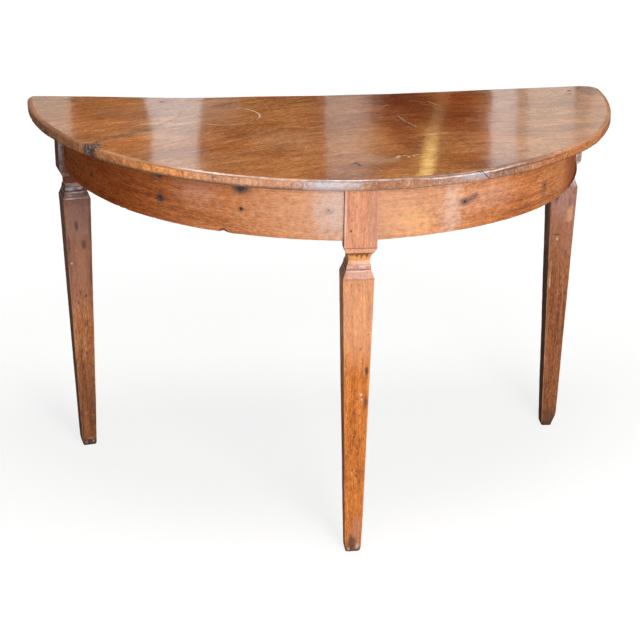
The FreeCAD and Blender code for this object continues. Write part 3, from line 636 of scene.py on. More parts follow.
# a board: the outline drawn in towards a middle point, ring by ring, with a rounded upper and lower edge
def boardSheet(front):
    s = topSizes
    outline, rimShare = boardOutline(front)
    inward = np.array([0.0, -s["middleY"] if front else s["middleY"]]) - outline
    span = np.linalg.norm(inward, axis=1)
    inward = inward / span[:, None]
    flat = np.concatenate([outline, np.zeros((len(outline), 1))], 1)
    ends = smooth(np.abs(outline[:, 0]), *s["roughEnds"]) * rimShare
    ends = ends * np.where(outline[:, 0] > 0, s["rightRough"], 1.0)
    upper = s["upperRound"] * (1 + 0.35 * softNoise(flat, 70, 3)) + 1.2 * ends * (1 + softNoise(flat, 9, 5))
    upper = upper * rimShare + 0.15
    lower = s["lowerRound"] * (1 + 0.3 * softNoise(flat, 60, 7)) * rimShare + 0.15
    still = np.zeros(len(span))
    quarter = np.linspace(0, np.pi / 2, 6)
    draw = np.linspace(0, 1, s["rings"]) ** 1.8
    reach = span * s["ringReach"]
    rows = []  # for each ring: inset, height over the underside, worn, grime
    for share in draw[::-1][:-1]:  # underside, from the middle out
        rows.append((lower + 2.0 + (reach - lower - 2.0) * share, still, 0.0, 0.35))
    for turn in quarter:  # lower edge
        height = lower * (1 - np.cos(turn))
        rows.append((lower * (1 - np.sin(turn)), height, 0.35 * math.sin(2 * turn), 0.45))
    for share in np.linspace(0, 1, 7)[1:-1]:  # side
        rows.append((still, lower + (s["thick"] - upper - lower) * share, 0.0, 0.30 * (1 - share)))
    for turn in quarter:  # upper edge
        height = s["thick"] - upper * (1 - np.sin(turn))
        rows.append((upper * (1 - np.cos(turn)), height, 0.75 * math.sin(2 * turn), 0.0))
    first = upper + 0.12 + 1.9 * rimShare
    for share in draw[1:]:  # upper face, from the edge in
        rows.append((first + (reach - first) * share, still + s["thick"], 0.0, 0.0))
    inset, height, wornRow, grimeRow = (np.array(part) for part in zip(*rows))
    nearRim = bell(inset, 0, s["wearWidth"]) * rimShare
    x, y = (np.broadcast_to(outline[:, k], inset.shape) for k in range(2))
    ground = np.stack([x, y, height], -1)
    endRough = ends * (0.55 * softNoise(ground, 6, 13) + 0.5 * softNoise(ground, 16, 17))
    rough = 0.35 * softNoise(ground, 45, 11) + endRough
    chipAt = np.linalg.norm(outline - s["chip"], axis=1)
    chip = s["chipDepth"] * bell(chipAt, 0, s["chipWidth"]) * (1 + 0.5 * softNoise(ground, 5, 19))
    inset = inset + nearRim * (rough + 0.35 + chip)
    flatPlace = outline[None] + inward[None] * inset[..., None]
    chipped = nearRim * bell(chipAt, 0, s["chipWidth"] + 1)
    flatZ = s["level"] - s["thick"] + height - chipped * smooth(height, 12, 20) * 3.0
    z = flatZ + bow(flatPlace[..., 0]) + backWarp(flatPlace[..., 0], flatPlace[..., 1])
    dark = chipped * 0.9 * smooth(height, 3, 13)
    endDark = nearRim * ends * smooth(softNoise(ground, 7, 23), 0.1, 0.9) * 0.6
    endDark = endDark * smooth(19.0 - height, -1, 6)
    grime = grimeRow[:, None] * nearRim + dark + endDark
    under = smooth(2.0 - height, 0, 1) * 0.75
    second = np.zeros((len(rows) - 1, len(outline)))
    second[s["rings"] - 1:s["rings"] + 16] = rimShare * np.roll(rimShare, -1)
    return {"points": np.concatenate([flatPlace, z[..., None]], -1),
            "grain": np.concatenate([flatPlace, flatZ[..., None]], -1),
            "worn": wornRow[:, None] * rimShare + 0 * inset, "grime": np.maximum(grime, under),
            "second": second}


topWood = [woodMaterial("topWood", topLook, marks=markTop), woodMaterial("rimWood", topLook, marks=markRim)]
buildPiece("rearBoard", [boardSheet(False)], topWood, "polished_wood", "top_rear_board")
buildPiece("frontBoard", [boardSheet(True)], topWood, "polished_wood", "top_front_board")


# the curved rails; endShift moves each rail's end outwards, between two angles in radians
railArc = {"radius": 526.0, "arcY": 255.5, "thick": 26.0, "bottom": 644.0, "top": 740.0, "stile": 30.0,
           "rearY": 230.5, "notchAngle": -27.1, "droop": 3.6, "droopAngle": 14.0,
           "endShift": {-1: (1.08, 1.50, 5.5), 1: (0.72, 1.24, -13.0)}}
railLook = {
    "dark": (0.250, 0.066, 0.015), "mid": (0.480, 0.150, 0.036), "mid2": (0.570, 0.200, 0.056),
    "light": (0.720, 0.330, 0.135), "red": (0.420, 0.115, 0.028), "poreTone": (0.130, 0.040, 0.016),
    "pore": 0.5, "wornTone": (0.68, 0.36, 0.18), "rub": 0.5, "grimeAndShadeTone": (0.050, 0.020, 0.010),
    "shift": (1.7, 0.2, 0.6), "swayScale": (3.5, 9.0, 9.0), "sway": 0.016,
    "streakScale": (6.0, 120.0, 120.0), "fibreScale": (70.0, 330.0, 330.0), "driftScale": (4.5, 12.0, 12.0),
    "weights": (0.75, 0.85, 0.75, 0.7),
    "rough": 0.34, "relief": 0.00010, "wax": 0.035, "fixed": {"Specular IOR Level": 0.0},
}
# angle from the front in degrees, level, head's half size; the stain's half sizes, lift and depth
railNails = [
    (-64.2, 680, 2.2, 11, 8, 0, 0.65), (-41.6, 727, 4.6, 17, 9, 1, 0.9), (-41.4, 684, 4.8, 15, 11, 1, 0.9),
    (-23.3, 728, 5.4, 25, 16, 0, 1.0), (-23.3, 690, 2.8, 9, 8, 0, 0.68), (-6.3, 696.5, 1.2, 13, 10, 0, 0.3),
    (21.4, 695, 2.6, 15, 10, 1, 0.8), (44.3, 727, 2.4, 12, 9, 0, 0.45), (44.3, 686, 1.2, 16, 16, -2, 0.58),
]
railMarks = {
    # iron stains that run: both ends by angle and level, half width, depth
    "runs": [(21.6, 696, 24.0, 703, 8.0, 0.62), (44.3, 684, 44.1, 662, 11.0, 0.4)],
    # zones: angle, level, half sizes along and up, raggedness, core; the glare, haze, sheen and lilac zones
    # are painted reflections on the polish
    "small": (41.4, 707, 7, 6, 1.0, 0.4), "frostyGlare": (-5.4, 702, 56, 80, 1.2, 0.1),
    "haze": (0.5, 692, 290, 110, 1.0, 0.25), "sheen": (18.6, 690, 34, 120, 1.0, 0.0),
    "lilacReflectionRight": (27.5, 700, 95, 45, 1.5, 0.1), "lilacReflectionLeft": (-33.0, 710, 60, 40, 1.5, 0.1),
    "amber": (10.5, 672, 62, 34, 1.2, 0.1), "glow": (52.5, 690, 42, 80, 1.2, 0.1),
    # ends, by the angles where they begin and where they are full; the rear end is darkened as painted
    # shade
    "rear": (-22, -58), "far": (53, 63),
}
# the rear tone is painted shade; the glare tone and the lilac, haze and sheen stains are painted
# reflections
railTones = {"rear": (0.82, 0.58, 0.40), "far": (0.80, 0.54, 0.36), "frostyGlare": (0.56, 0.50, 0.50)}
railStains = {
    "lilacReflection": (0.16, (0.80, 0.58, 0.56)), "amber": (0.45, (0.86, 0.38, 0.10)),
    "glow": (0.22, (0.90, 0.34, 0.10)), "haze": (0.26, (0.92, 0.66, 0.48)),
    "sheen": (0.30, (0.80, 0.68, 0.64)), "scar": (0.45, (0.20, 0.075, 0.036)),
    "iron": (0.93, (0.045, 0.034, 0.034)),
}
railNoise = {"speck": ((230.0, 330.0, 230.0), 2.0, 0.6, 0.44, 0.62),
             "scar": ((22.0, 60.0, 30.0), 3.0, 0.65, 0.62, 0.78)}


# iron stains of the rails, their painted reflections (a frosty glare, a haze, lilac parts and a sheen),
# amber parts, scars and darker ends, the left rail's rear end darkened as painted shade
def markRails(net, place, rag, colour, rough, height, polish):
    turnLength = math.radians(railArc["radius"])  # along the arc, for one degree
    tones, stains = railTones, railStains

    def spot(angle, level, along, up, ragged, core):
        return net.flatBlot(place, rag * ragged, angle * turnLength, level, along, up, core)

    def zone(name):
        return spot(*railMarks[name])

    def end(name, ragged):
        start, stop = (angle * turnLength * mm for angle in railMarks[name])
        return net.fade(net.axis(place, "X") + rag * ragged, start, stop)

    iron = net.anyOf(spot(angle, level + lift, along, up, 0.9, 0.25) * depth
                     for angle, level, _, along, up, lift, depth in railNails)
    for angle0, level0, angle1, level1, width, depth in railMarks["runs"]:
        start, stop = (angle0 * turnLength, level0, -1), (angle1 * turnLength, level1, -1)
        iron = iron | net.stroke(place, rag * 2.5, start, stop, width) * depth
    iron = iron | zone("small") * 0.45
    frostyGlare, rear = zone("frostyGlare"), end("rear", 0.04)
    speck = net.patches(place, *railNoise["speck"])
    # painted reflections: the lilac parts
    colour = net.stain(colour, zone("lilacReflectionRight") | zone("lilacReflectionLeft"), *stains["lilacReflection"])
    colour = net.stain(colour, zone("amber"), *stains["amber"])
    # painted shade on the left rail's rear end
    colour = net.tint(rear, colour, tones["rear"], "MULTIPLY")
    colour = net.stain(colour, zone("glow"), *stains["glow"])
    colour = net.tint(end("far", 0.07), colour, tones["far"], "MULTIPLY")
    # painted reflections: a haze, a frosty glare and a sheen
    colour = net.stain(colour, zone("haze"), *stains["haze"])
    colour = net.tint(frostyGlare * (0.34 + speck * 0.46), colour, tones["frostyGlare"])
    colour = net.stain(colour, zone("sheen"), *stains["sheen"])
    scar = net.patches(place, *railNoise["scar"])
    colour = net.stain(colour, scar, *stains["scar"])
    colour = net.stain(colour, iron, *stains["iron"])
    # the glare's place is also frosted: rougher, with specks in relief
    height = height - iron * 1.2 - scar * 0.6 + speck * frostyGlare * 1.4
    return colour, rough + iron * 0.12 + frostyGlare * 0.1, height, {"wax": (1.0 - rear * 0.75) * railLook["wax"]}


# a closed section with rounded corners: outer face up, top, inner face down, bottom. radii are those of its
# corners and counts the points of its sides, in that order
def barLoop(outer, inner, low, high, radii, counts):
    corners = [(outer, low), (outer, high), (inner, high), (inner, low)]
    path, edge = [], []
    for k, ((x, z), r) in enumerate(zip(corners, radii)):
        turn = np.linspace(0, np.pi / 2, 5) + (k - 1) * np.pi / 2
        centre = np.array([x + (-r if x == outer else r), z + (r if z == low else -r)])
        arc = centre + r * np.stack([np.cos(turn), np.sin(turn)], 1)
        x2, z2 = corners[(k + 1) % 4]
        heading = np.sign([x2 - x, z2 - z])
        share = crowded(counts[k])[1:-1, None]
        side = arc[-1] + share * (np.array([x2, z2]) - heading * radii[(k + 1) % 4] - arc[-1])
        path += [arc, side]
        edge += [np.ones(5), np.zeros(len(side))]
    return np.concatenate(path), np.concatenate(edge)


# a rail: the section carried round the arc, its upper edge fitted to the bow of the top
def railSheet(side):
    r = railArc
    radii, counts = (1.9, 0.6, 0.6, 0.9), (22, 6, 14, 8)
    loop, edge = barLoop(0.0, -r["thick"], r["bottom"], r["top"], radii, counts)
    begin = math.asin((r["stile"] + 0.5) / r["radius"])
    finish = math.acos((r["arcY"] - r["rearY"] - 6.0) / r["radius"])
    turn = np.concatenate([[begin, begin + 0.0004, begin + 0.002], np.linspace(begin + 0.005, finish, 250)])
    turn = turn[:, None] * side
    out, z = loop[:, 0], loop[:, 1]
    outer, front = out > -3, out > -14
    along = turn * r["radius"] + 0 * z
    place = np.stack([along, 0 * along + out, 0 * along + z], -1)
    wave = 0.5 * softNoise(place, 120, 31) + 0.22 * softNoise(place, 28, 33)
    lowEdge = edge * (z < r["bottom"] + 4)
    chips = np.maximum(softNoise(place, 11, 35) - 0.35, 0) * 2.4 * lowEdge
    notchAt = math.radians(r["notchAngle"]) * r["radius"]
    notch = bell(along, notchAt, 5.0) * smooth(r["bottom"] + 10 - z, 0, 8) * front
    burn = bell(along, notchAt, 8.0) * smooth(r["bottom"] + 9 - z, 0, 5) * front
    start, stop, shift = r["endShift"][side]  # the left rail bulges at its end, the right one draws in
    ends = smooth(np.abs(turn), start, stop) * shift
    reach = r["radius"] + out + wave * outer + ends * np.where(outer, 1.0, 0.5)
    reach = reach - chips - 2.5 * notch * outer
    x, y = np.sin(turn) * reach, r["arcY"] - np.cos(turn) * reach
    rise = (z - r["bottom"]) / (r["top"] - r["bottom"])
    droop = r["droop"] * bell(np.degrees(turn), 0, r["droopAngle"])
    droop = (droop + 1.6 * smooth(-turn * side + 0.9, 0, 0.5)) * (1 - rise)
    level = z + rise * bow(x) + 0.6 * softNoise(place, 90, 37) * (1 - rise)
    level = level + chips * 0.6 + 3.0 * notch - droop
    atStile = smooth(r["stile"] + 7 - along * side, 0, 7) * (0.85 if side < 0 else 0.35)
    # painted shade along the top, under the table top; darker next to the stile, on the inner face and at
    # the notch
    grime = smooth(z - (r["top"] - 12), 0, 14) * 0.85 + atStile
    grime = np.maximum(grime, 0.75 * smooth(-out, 3, 6)) + burn * 1.2
    # painted shade at the rails' ends, strongest at the right end
    shade = 0.35 * smooth(np.abs(turn), 1.25, 1.55) + 0.6 * smooth(turn, 1.36, 1.52)
    return {"points": np.stack([x, y, level], -1),
            "grain": np.stack([along, 0 * along + z, 0 * along + out], -1),
            "worn": 0 * along + edge * 0.7, "grime": grime + shade}


railWood = [woodMaterial("railWood", railLook, marks=markRails)]
buildPiece("leftRail", [railSheet(-1)], railWood, "polished_wood", "left_curved_rail")
buildPiece("rightRail", [railSheet(1)], railWood, "polished_wood", "right_curved_rail")


# the legs
legLook = {
    "dark": (0.270, 0.068, 0.012), "mid": (0.540, 0.152, 0.024), "mid2": (0.640, 0.200, 0.038),
    "light": (0.800, 0.330, 0.110), "red": (0.480, 0.122, 0.022), "poreTone": (0.140, 0.036, 0.010),
    "pore": 0.5, "wornTone": (0.76, 0.40, 0.20), "rub": 0.4, "grimeAndShadeTone": (0.050, 0.022, 0.014),
    "shift": (0.9, 1.3, 0.4), "swayScale": (4.0, 12.0, 12.0), "sway": 0.014,
    "streakScale": (6.0, 150.0, 150.0), "fibreScale": (60.0, 360.0, 360.0), "driftScale": (4.0, 14.0, 14.0),
    "weights": (1.0, 1.05, 0.7, 0.9),
    "rough": 0.36, "relief": 0.00012, "wax": 0.024, "fixed": {"Specular IOR Level": 0.0},
}
# lean is the shift at the neck, at the floor and in the stile; turn is the twist in degrees; tone tints the
# wood; foot lists worn edges by side, share and height; haze runs between two levels with a share, a
# painted reflection on the front and right legs and painted shade on the left one. The side value is
# painted shade on the left faces; bead, lip and the line values set the neck's painted highlights
legs = {
    "frontLeg": {
        "at": (0.0, -243.5), "node": "front_leg", "seed": 0, "lean": (-1.8, 0.2, 0.0), "turn": 0.0,
        "tone": (0.90, 0.88, 0.70), "foot": [(1, 0.12, 16.0)], "haze": (470, 760, 0.27),
        "hazeTone": (0.92, 0.60, 0.42), "shade": (1.0, 1.02, 1.2), "coveTone": (0.74, 0.36, 0.10),
        "sideGrime": 0.0, "neck": 1.0, "bead": 0.70, "beadTone": (0.56, 0.58, 0.70),
        "lineTone": (1.0, 1.0, 1.0), "lineShare": 1.0, "lip": 0.10, "mottle": 0.0, "rearCut": 34.0,
    },
    "leftLeg": {
        "at": (-511.0, 260.5), "node": "left_rear_leg", "seed": 40,
        "lean": (-5.5, -1.5, -6.5), "turn": 11.5,
        "tone": (0.76, 0.90, 1.66), "foot": [(-1, 0.12, 20.0)], "haze": (400, 760, 0.60),
        "hazeTone": (0.250, 0.120, 0.088), "shade": (0.74, 0.66, 0.68), "coveTone": (0.34, 0.115, 0.085),
        "sideGrime": 0.62, "neck": 0.4, "bead": 0.9, "beadTone": (0.90, 0.94, 1.0),
        "lineTone": (0.95, 0.92, 0.98), "lineShare": 1.7, "lip": 0.5, "mottle": 0.35, "rearCut": 0.0,
    },
    "rightLeg": {
        "at": (511.0, 260.5), "node": "right_rear_leg", "seed": 80, "lean": (-2.0, 3.0, -0.5), "turn": -2.0,
        "tone": (0.57, 0.64, 1.20), "foot": [(1, 0.55, 40.0)], "haze": (480, 560, 0.35),
        "hazeTone": (0.50, 0.235, 0.155), "shade": (0.84, 0.80, 0.98), "coveTone": (0.66, 0.54, 0.52),
        "sideGrime": 0.80, "neck": 0.4, "bead": 0.85, "beadTone": (0.66, 0.62, 0.72),
        "lineTone": (0.70, 0.72, 0.80), "lineShare": 1.3, "lip": 0.2, "mottle": 0.6, "rearCut": 0.0,
    },
}
legProfile = {"foot": 15.5, "shaft": 28.5, "shaftTop": 567.0, "stile": 30.0, "bowed": (640, 740)}


# how far a stile and its pegs rise at a level, to follow the bow of the top
def stileLift(level, x):
    return smooth(level, *legProfile["bowed"]) * bow(x)


# levels and half widths of the moulded neck with its arrises worn round, above a straight tapered shaft
def legLevels():
    p = legProfile
    foot = np.array([(0.0, 10.8), (0.3, 12.6), (1.2, 14.1), (3.0, 15.1), (6.0, 15.6)])
    shaftZ = np.concatenate([np.linspace(12, 556, 74), [562.0, 565.0]])
    shaft = np.stack([shaftZ, p["foot"] + (p["shaft"] - p["foot"]) * shaftZ / p["shaftTop"]], 1)
    lip = np.array([(566.4, 28.42), (567.5, 28.25), (568.9, 27.75), (570.5, 27.1), (571.8, 26.7),
                    (572.6, 26.55), (572.9, 26.2), (573.3, 25.95)])
    shoulder = np.array([(574.6, 25.55), (577.0, 24.8), (579.4, 23.9), (581.0, 23.2), (582.2, 22.95),
                         (582.7, 22.7), (583.0, 22.3)])
    turn = np.linspace(0, 1, 12)
    bead = np.stack([583.2 + 9.3 * turn, 22.2 - 1.7 * turn + 3.6 * turn * (1 - turn)], 1)
    coveZ = np.linspace(592.9, 614.4, 16)
    cove = np.stack([coveZ, 46.6 - np.sqrt(27.0 ** 2 - (coveZ - 599.5) ** 2)], 1)
    bevel = np.array([(614.7, 24.3), (614.9, 24.9), (615.3, 25.35), (616.4, 25.85), (619.6, 27.6),
                      (622.6, 29.1), (624.2, 29.65), (626.4, 29.95)])
    stileZ = np.concatenate([[630.0], np.linspace(636, 734, 20), [738.5, 739.4, 740.0]])
    stile = np.stack([stileZ, np.full(len(stileZ), p["stile"])], 1)
    stile[-1, 1] = p["stile"] - 0.5
    return np.concatenate([foot, shaft, lip, shoulder, bead, cove, bevel, stile])


# for each column round a leg: its side of the square in x and y, its way outwards in x and y, 1 on an arris
def squareColumns():
    share = crowded(13)[1:-1] * 2 - 1
    one, flat, parts = np.ones(5), 0 * share, []
    corners = [(-1, -1), (1, -1), (1, 1), (-1, 1)]
    ways = [(1, 0), (0, 1), (-1, 0), (0, -1)]
    for k, ((x, y), (wayX, wayY)) in enumerate(zip(corners, ways)):
        turn = np.linspace(np.pi, 1.5 * np.pi, 5) + k * np.pi / 2
        parts.append(np.stack([one * x, one * y, np.cos(turn), np.sin(turn), one]))
        if wayX:  # then the face that follows the corner
            parts.append(np.stack([share * wayX, flat + y, flat, flat + y, flat]))
        else:
            parts.append(np.stack([flat + x, share * wayY, flat + x, flat, flat]))
    return np.concatenate(parts, 1)


# a leg: a square with rounded corners at every level, of the level's half width
def legSheet(spec):
    rows = legLevels()
    z, half = rows[:, :1], rows[:, 1:]
    aX, aY, bX, bY, arris = squareColumns()
    seed = spec["seed"]
    along = np.broadcast_to(z, (len(z), len(aX)))
    ring = np.stack([aX * half, aY * half, along], -1)
    corner = 1.5 + 0.8 * softNoise(np.stack([aX * 30 + 0 * z, aY * 30 + 0 * z, along], -1), 55, seed + 1)
    corner = corner + 1.6 * smooth(30 - along, 0, 30)
    corner = corner - 0.6 * smooth(along, 572, 590) * smooth(632 - along, 0, 8)
    corner = np.maximum(corner, 0.6)
    wave = 0.35 * softNoise(ring, 110, seed + 2) + 0.14 * softNoise(ring, 22, seed + 3)
    onShaft = arris * smooth(560 - along, 0, 20)
    chips = np.maximum(softNoise(ring, 9, seed + 4) - 0.30, 0) * 2.0 * onShaft
    bruise = np.maximum(softNoise(ring, 30, seed + 5) - 0.45, 0) * 3.0 * onShaft
    out = wave - chips - bruise
    x = aX * (half - corner) + bX * (corner + out)
    y = aY * (half - corner) + bY * (corner + out)
    cut = spec["rearCut"] * smooth(649 - along, 0, 6) * smooth(along, 606, 617)
    for side in (-1, 1):  # rear corners of the stile taken off below the rails
        over = np.maximum(x * side + y - (2 * half - cut), 0) * (cut > 0.01)
        x, y = x - side * over / 2, y - over / 2
    for direction, amount, height in spec["foot"]:  # a foot's edge worn away
        x = x - np.maximum(x * direction, 0) * direction * amount * smooth(height - along, 0, height) ** 1.6
    atX, atY = spec["at"]
    level = along + stileLift(along, atX)
    neck, floor, stile = spec["lean"]
    upShaft = np.clip(along / legProfile["shaftTop"], 0, 1)
    shift = floor + (neck - floor) * upShaft + (stile - neck) * smooth(along, 575, 626)
    cos, sin = math.cos(math.radians(spec["turn"])), math.sin(math.radians(spec["turn"]))
    points = np.stack([x * cos - y * sin + shift + atX, x * sin + y * cos + atY, level], -1)
    groove = bell(along, 614.2, 2.0) + 0.8 * bell(along, 582.9, 1.3) + 0.4 * bell(along, 573.0, 1.2)
    # darker in the neck's grooves and towards the foot; painted shade at the top of the stile, under the
    # table top
    grime = groove * 0.9 + smooth(along, 728, 742) * 0.8
    grime = grime + 0.55 * smooth(26 - along, 0, 26) + 0.25 * smooth(60 - along, 0, 60)
    # painted shade on the left faces
    grime = grime + spec["sideGrime"] * ((aX < -0.99) & (bX < -0.85))
    hard = bell(along, 567.5, 2.0) * 0.7 + bell(along, 588.0, 3.2) * 0.4 + bell(along, 626, 1.5) * 0.4
    return {"points": points, "grain": np.stack([along, x, y], -1), "worn": np.maximum(arris * 0.75, hard),
            "grime": grime}


# spots on each leg by level, across, back, half sizes along and across and depth; a sheen also by its tone.
# The sheens are painted: light ones painted highlights and reflections, dark ones painted shade
legMarks = {
    "frontLeg": {
        "dark": [(386, 18, -22, 14, 5, 0.9), (322, 18, -19, 22, 5, 0.8), (430, 6, -24, 6, 4, 0.5),
                 (250, -3, -17, 5, 3, 0.8), (228, 4, -17, 4, 2.5, 0.8), (180, -5, -15, 7, 3, 0.8),
                 (168, 3, -15, 5, 3, 0.7), (140, -6, -14, 5, 3, 0.7), (330, 0, -20, 5, 3, 0.6),
                 (300, -4, -20, 6, 3, 0.6), (22, -3, -13, 26, 11, 0.8), (659, -18, -30, 4, 3, 0.9)],
        "pale": [(338, 9, -20, 5, 3, 0.8), (328, 10, -20, 4, 3, 0.8), (12, 8, -13, 9, 6, 0.5),
                 (8, -9, -13, 6, 5, 0.5)],
        "sheen": [(40, 4, -14, 60, 16, 0.35, (0.36, 0.22, 0.19)),
                  (690, -28, -30, 70, 3, 0.5, (0.86, 0.60, 0.52))],
    },
    "leftLeg": {
        "dark": [(510, -4, -24, 16, 6, 0.8), (468, 9, -23, 15, 8, 0.75), (352, 8, -20, 6, 4, 0.95),
                 (362, -3, -20, 8, 4, 0.7), (340, -8, -20, 7, 4, 0.6), (290, 6, -18, 10, 6, 0.5),
                 (222, 4, -16, 7, 6, 0.65), (10, 0, -12, 12, 14, 0.85), (470, -22, -24, 30, 5, 0.5),
                 (500, 24, -24, 60, 5, 0.55), (410, 21, -21, 50, 3, 0.5)],
        "pale": [(428, -18, -22, 4, 4, 0.85), (9, -6, -13, 5, 5, 0.8), (10, 8, -13, 5, 4, 0.8),
                 (17, 2, -13, 3, 9, 0.6)],
        "sheen": [(695, -30, -24, 90, 16, 0.85, (0.72, 0.58, 0.60)),
                  (520, 0, -26, 70, 40, 0.30, (0.40, 0.25, 0.23)),
                  (430, 4, -22, 90, 20, 0.3, (0.50, 0.22, 0.11)),
                  (110, 0, -14, 190, 50, 0.42, (0.115, 0.042, 0.020)),
                  (588, -11, -22, 6, 11, 0.8, (0.72, 0.78, 0.95)),
                  (580, -2, -24, 1.8, 20, 0.75, (0.92, 0.88, 0.92)),
                  (568.5, -13, -27, 2.2, 14, 0.8, (0.95, 0.90, 0.92)),
                  (575, -13, -25, 3, 8, 0.7, (0.80, 0.72, 0.74)),
                  (577, 19, -25, 7, 7, 0.5, (0.07, 0.036, 0.034))],
    },
    "rightLeg": {
        "dark": [(460, -10, -24, 1.8, 13, 0.95), (418, 12, -22, 14, 5, 0.45), (322, 6, -20, 9, 6, 0.55),
                 (222, -2, -17, 4, 3, 0.9), (204, 8, -17, 6, 4, 0.8), (546, -16, -27, 22, 9, 0.6),
                 (24, 2, -13, 34, 18, 0.7), (535, 14, -26, 14, 6, 0.4)],
        "pale": [(450, -8, -24, 6, 3, 0.75), (322, 4, -20, 3, 2.5, 0.7), (350, -18, -20, 26, 3, 0.7),
                 (588, 12, -20, 16, 14, 0.55), (600, -4, -18, 10, 14, 0.35)],
        "sheen": [(715, 26, -30, 50, 12, 0.6, (0.56, 0.45, 0.43)),
                  (540, 0, -27, 60, 40, 0.35, (0.56, 0.34, 0.33)),
                  (680, 10, -30, 95, 70, 0.60, (0.70, 0.58, 0.58)),
                  (600, 8, -22, 40, 60, 0.84, (0.82, 0.78, 0.78)),
                  (500, -29, 4, 90, 12, 0.55, (0.030, 0.012, 0.008)),
                  (505, 16, -26, 26, 10, 0.50, (0.84, 0.48, 0.24))],
    },
}
# parts of the neck by level in metres: where each begins, is full, is last full and ends
neckBands = {
    "cove": (0.592, 0.597, 0.609, 0.615), "bevel": (0.6150, 0.6165, 0.6240, 0.6255),
    "quirk": (0.6055, 0.6115, 0.6150, 0.6165), "edge": (0.6240, 0.6252, 0.6264, 0.6278),
    "bead": (0.5845, 0.5870, 0.5905, 0.5930), "lip": (0.5662, 0.5676, 0.5688, 0.5702),
    "mould": (0.5640, 0.5665, 0.6150, 0.6180), "shoulder": (0.5685, 0.5700, 0.5825, 0.5835),
}
# lines of the neck: lower and upper level in metres, share, tone; the pale ones are painted highlights
neckLines = [(0.5640, 0.5668, 0.45, (0.35, 0.14, 0.10)), (0.5676, 0.5700, 0.40, (0.90, 0.74, 0.68)),
             (0.5790, 0.5814, 0.55, (0.95, 0.78, 0.74)), (0.5816, 0.5846, 0.75, (0.20, 0.090, 0.095)),
             (0.5925, 0.6000, 0.45, (0.95, 0.70, 0.55))]
lineSoft = 0.0008
legFades = {"shade": (0.548, 0.600), "blush": (0.40, 0.56), "mottle": (0.47, 0.55)}  # levels in metres
paintedHazeSoft = (110, 120)  # a haze fades out over these lengths below and above
# the lip tone is a painted highlight
legTones = {
    "lip": (0.80, 0.66, 0.64), "mottle": (0.12, 0.066, 0.060), "pale": (0.74, 0.55, 0.42),
    "dark": (0.070, 0.036, 0.030),
}
# the lip's darkening is painted shade on a part that faces up
legStains = {
    "bevel": (0.40, (0.88, 0.52, 0.34)), "quirk": (0.85, (0.17, 0.058, 0.012)),
    "edge": (0.55, (0.22, 0.06, 0.035)), "lipShade": (0.8, (0.60, 0.58, 0.62)),
    "shoulder": (0.42, (0.62, 0.43, 0.42)), "blush": (0.40, (0.86, 0.58, 0.55)),
    "ash": (0.32, (0.27, 0.105, 0.062)), "worm": (0.8, (0.06, 0.024, 0.012)),
}
coveShare = 0.55
legNoise = {
    "drip": ((45.0, 170.0, 170.0), 3.0, 0.6), "patch": ((170.0, 75.0, 75.0), 3.0, 0.6, 0.34, 0.66),
    "blush": ((14.0, 60.0, 60.0), 3.0, 0.6, 0.46, 0.66),
    "worm": ((150.0, 330.0, 330.0), 1.0, 0.55, 0.70, 0.76),
    "ash": ((11.0, 34.0, 34.0), 4.0, 0.65, 0.56, 0.78),
    "mottle": ((190.0, 230.0, 230.0), 2.0, 0.7, 0.56, 0.66),
}


# the moulded neck: tints of each part, painted shade on the lip and painted highlights on the bead, the lip
# and the pale lines, and the masks of its shine and of the whole moulding
def markNeck(net, place, rag, colour, level, leg):
    stains, bands = legStains, neckBands
    shade = net.fade(level + rag * 0.06, *legFades["shade"])
    colour = net.tint(shade, colour, leg["shade"], "MULTIPLY")
    cove = net.band(level + rag * 0.012, *bands["cove"])
    colour = net.stain(colour, cove, coveShare, leg["coveTone"])
    colour = net.stain(colour, net.band(level, *bands["bevel"]) * leg["neck"], *stains["bevel"])
    drip = net.noise(place, *legNoise["drip"]) - 0.5
    quirk = net.band(level + drip * 0.042, *bands["quirk"], upper=level)
    colour = net.stain(colour, quirk * leg["neck"], *stains["quirk"])
    edge = net.band(level + rag * 0.003, *bands["edge"])
    colour = net.stain(colour, edge * leg["neck"], *stains["edge"])
    patch = net.patches(place, *legNoise["patch"])
    # the bead's painted highlight, where it is also glossier
    gloss = net.band(level, *bands["bead"], upper=level + rag * 0.008) * patch
    lip = net.band(level, *bands["lip"])
    # painted shade on the lip, then painted highlights on the bead and the lip
    colour = net.stain(colour, lip, *stains["lipShade"], "MULTIPLY")
    colour = net.stain(colour, gloss, leg["bead"], leg["beadTone"])
    colour = net.stain(colour, lip * patch, leg["lip"], legTones["lip"])
    colour = net.stain(colour, net.band(level, *bands["shoulder"]), *stains["shoulder"])
    # the pale lines are painted highlights
    for low, high, strength, tone in neckLines:
        line = net.band(level + rag * 0.004, low, low + lineSoft, high - lineSoft, high)
        tone = tuple(c * g for c, g in zip(tone, leg["lineTone"]))
        colour = net.stain(colour, line * (patch * 0.6 + 0.4), strength * leg["lineShare"], tone)
    return colour, gloss, net.band(level, *bands["mould"])


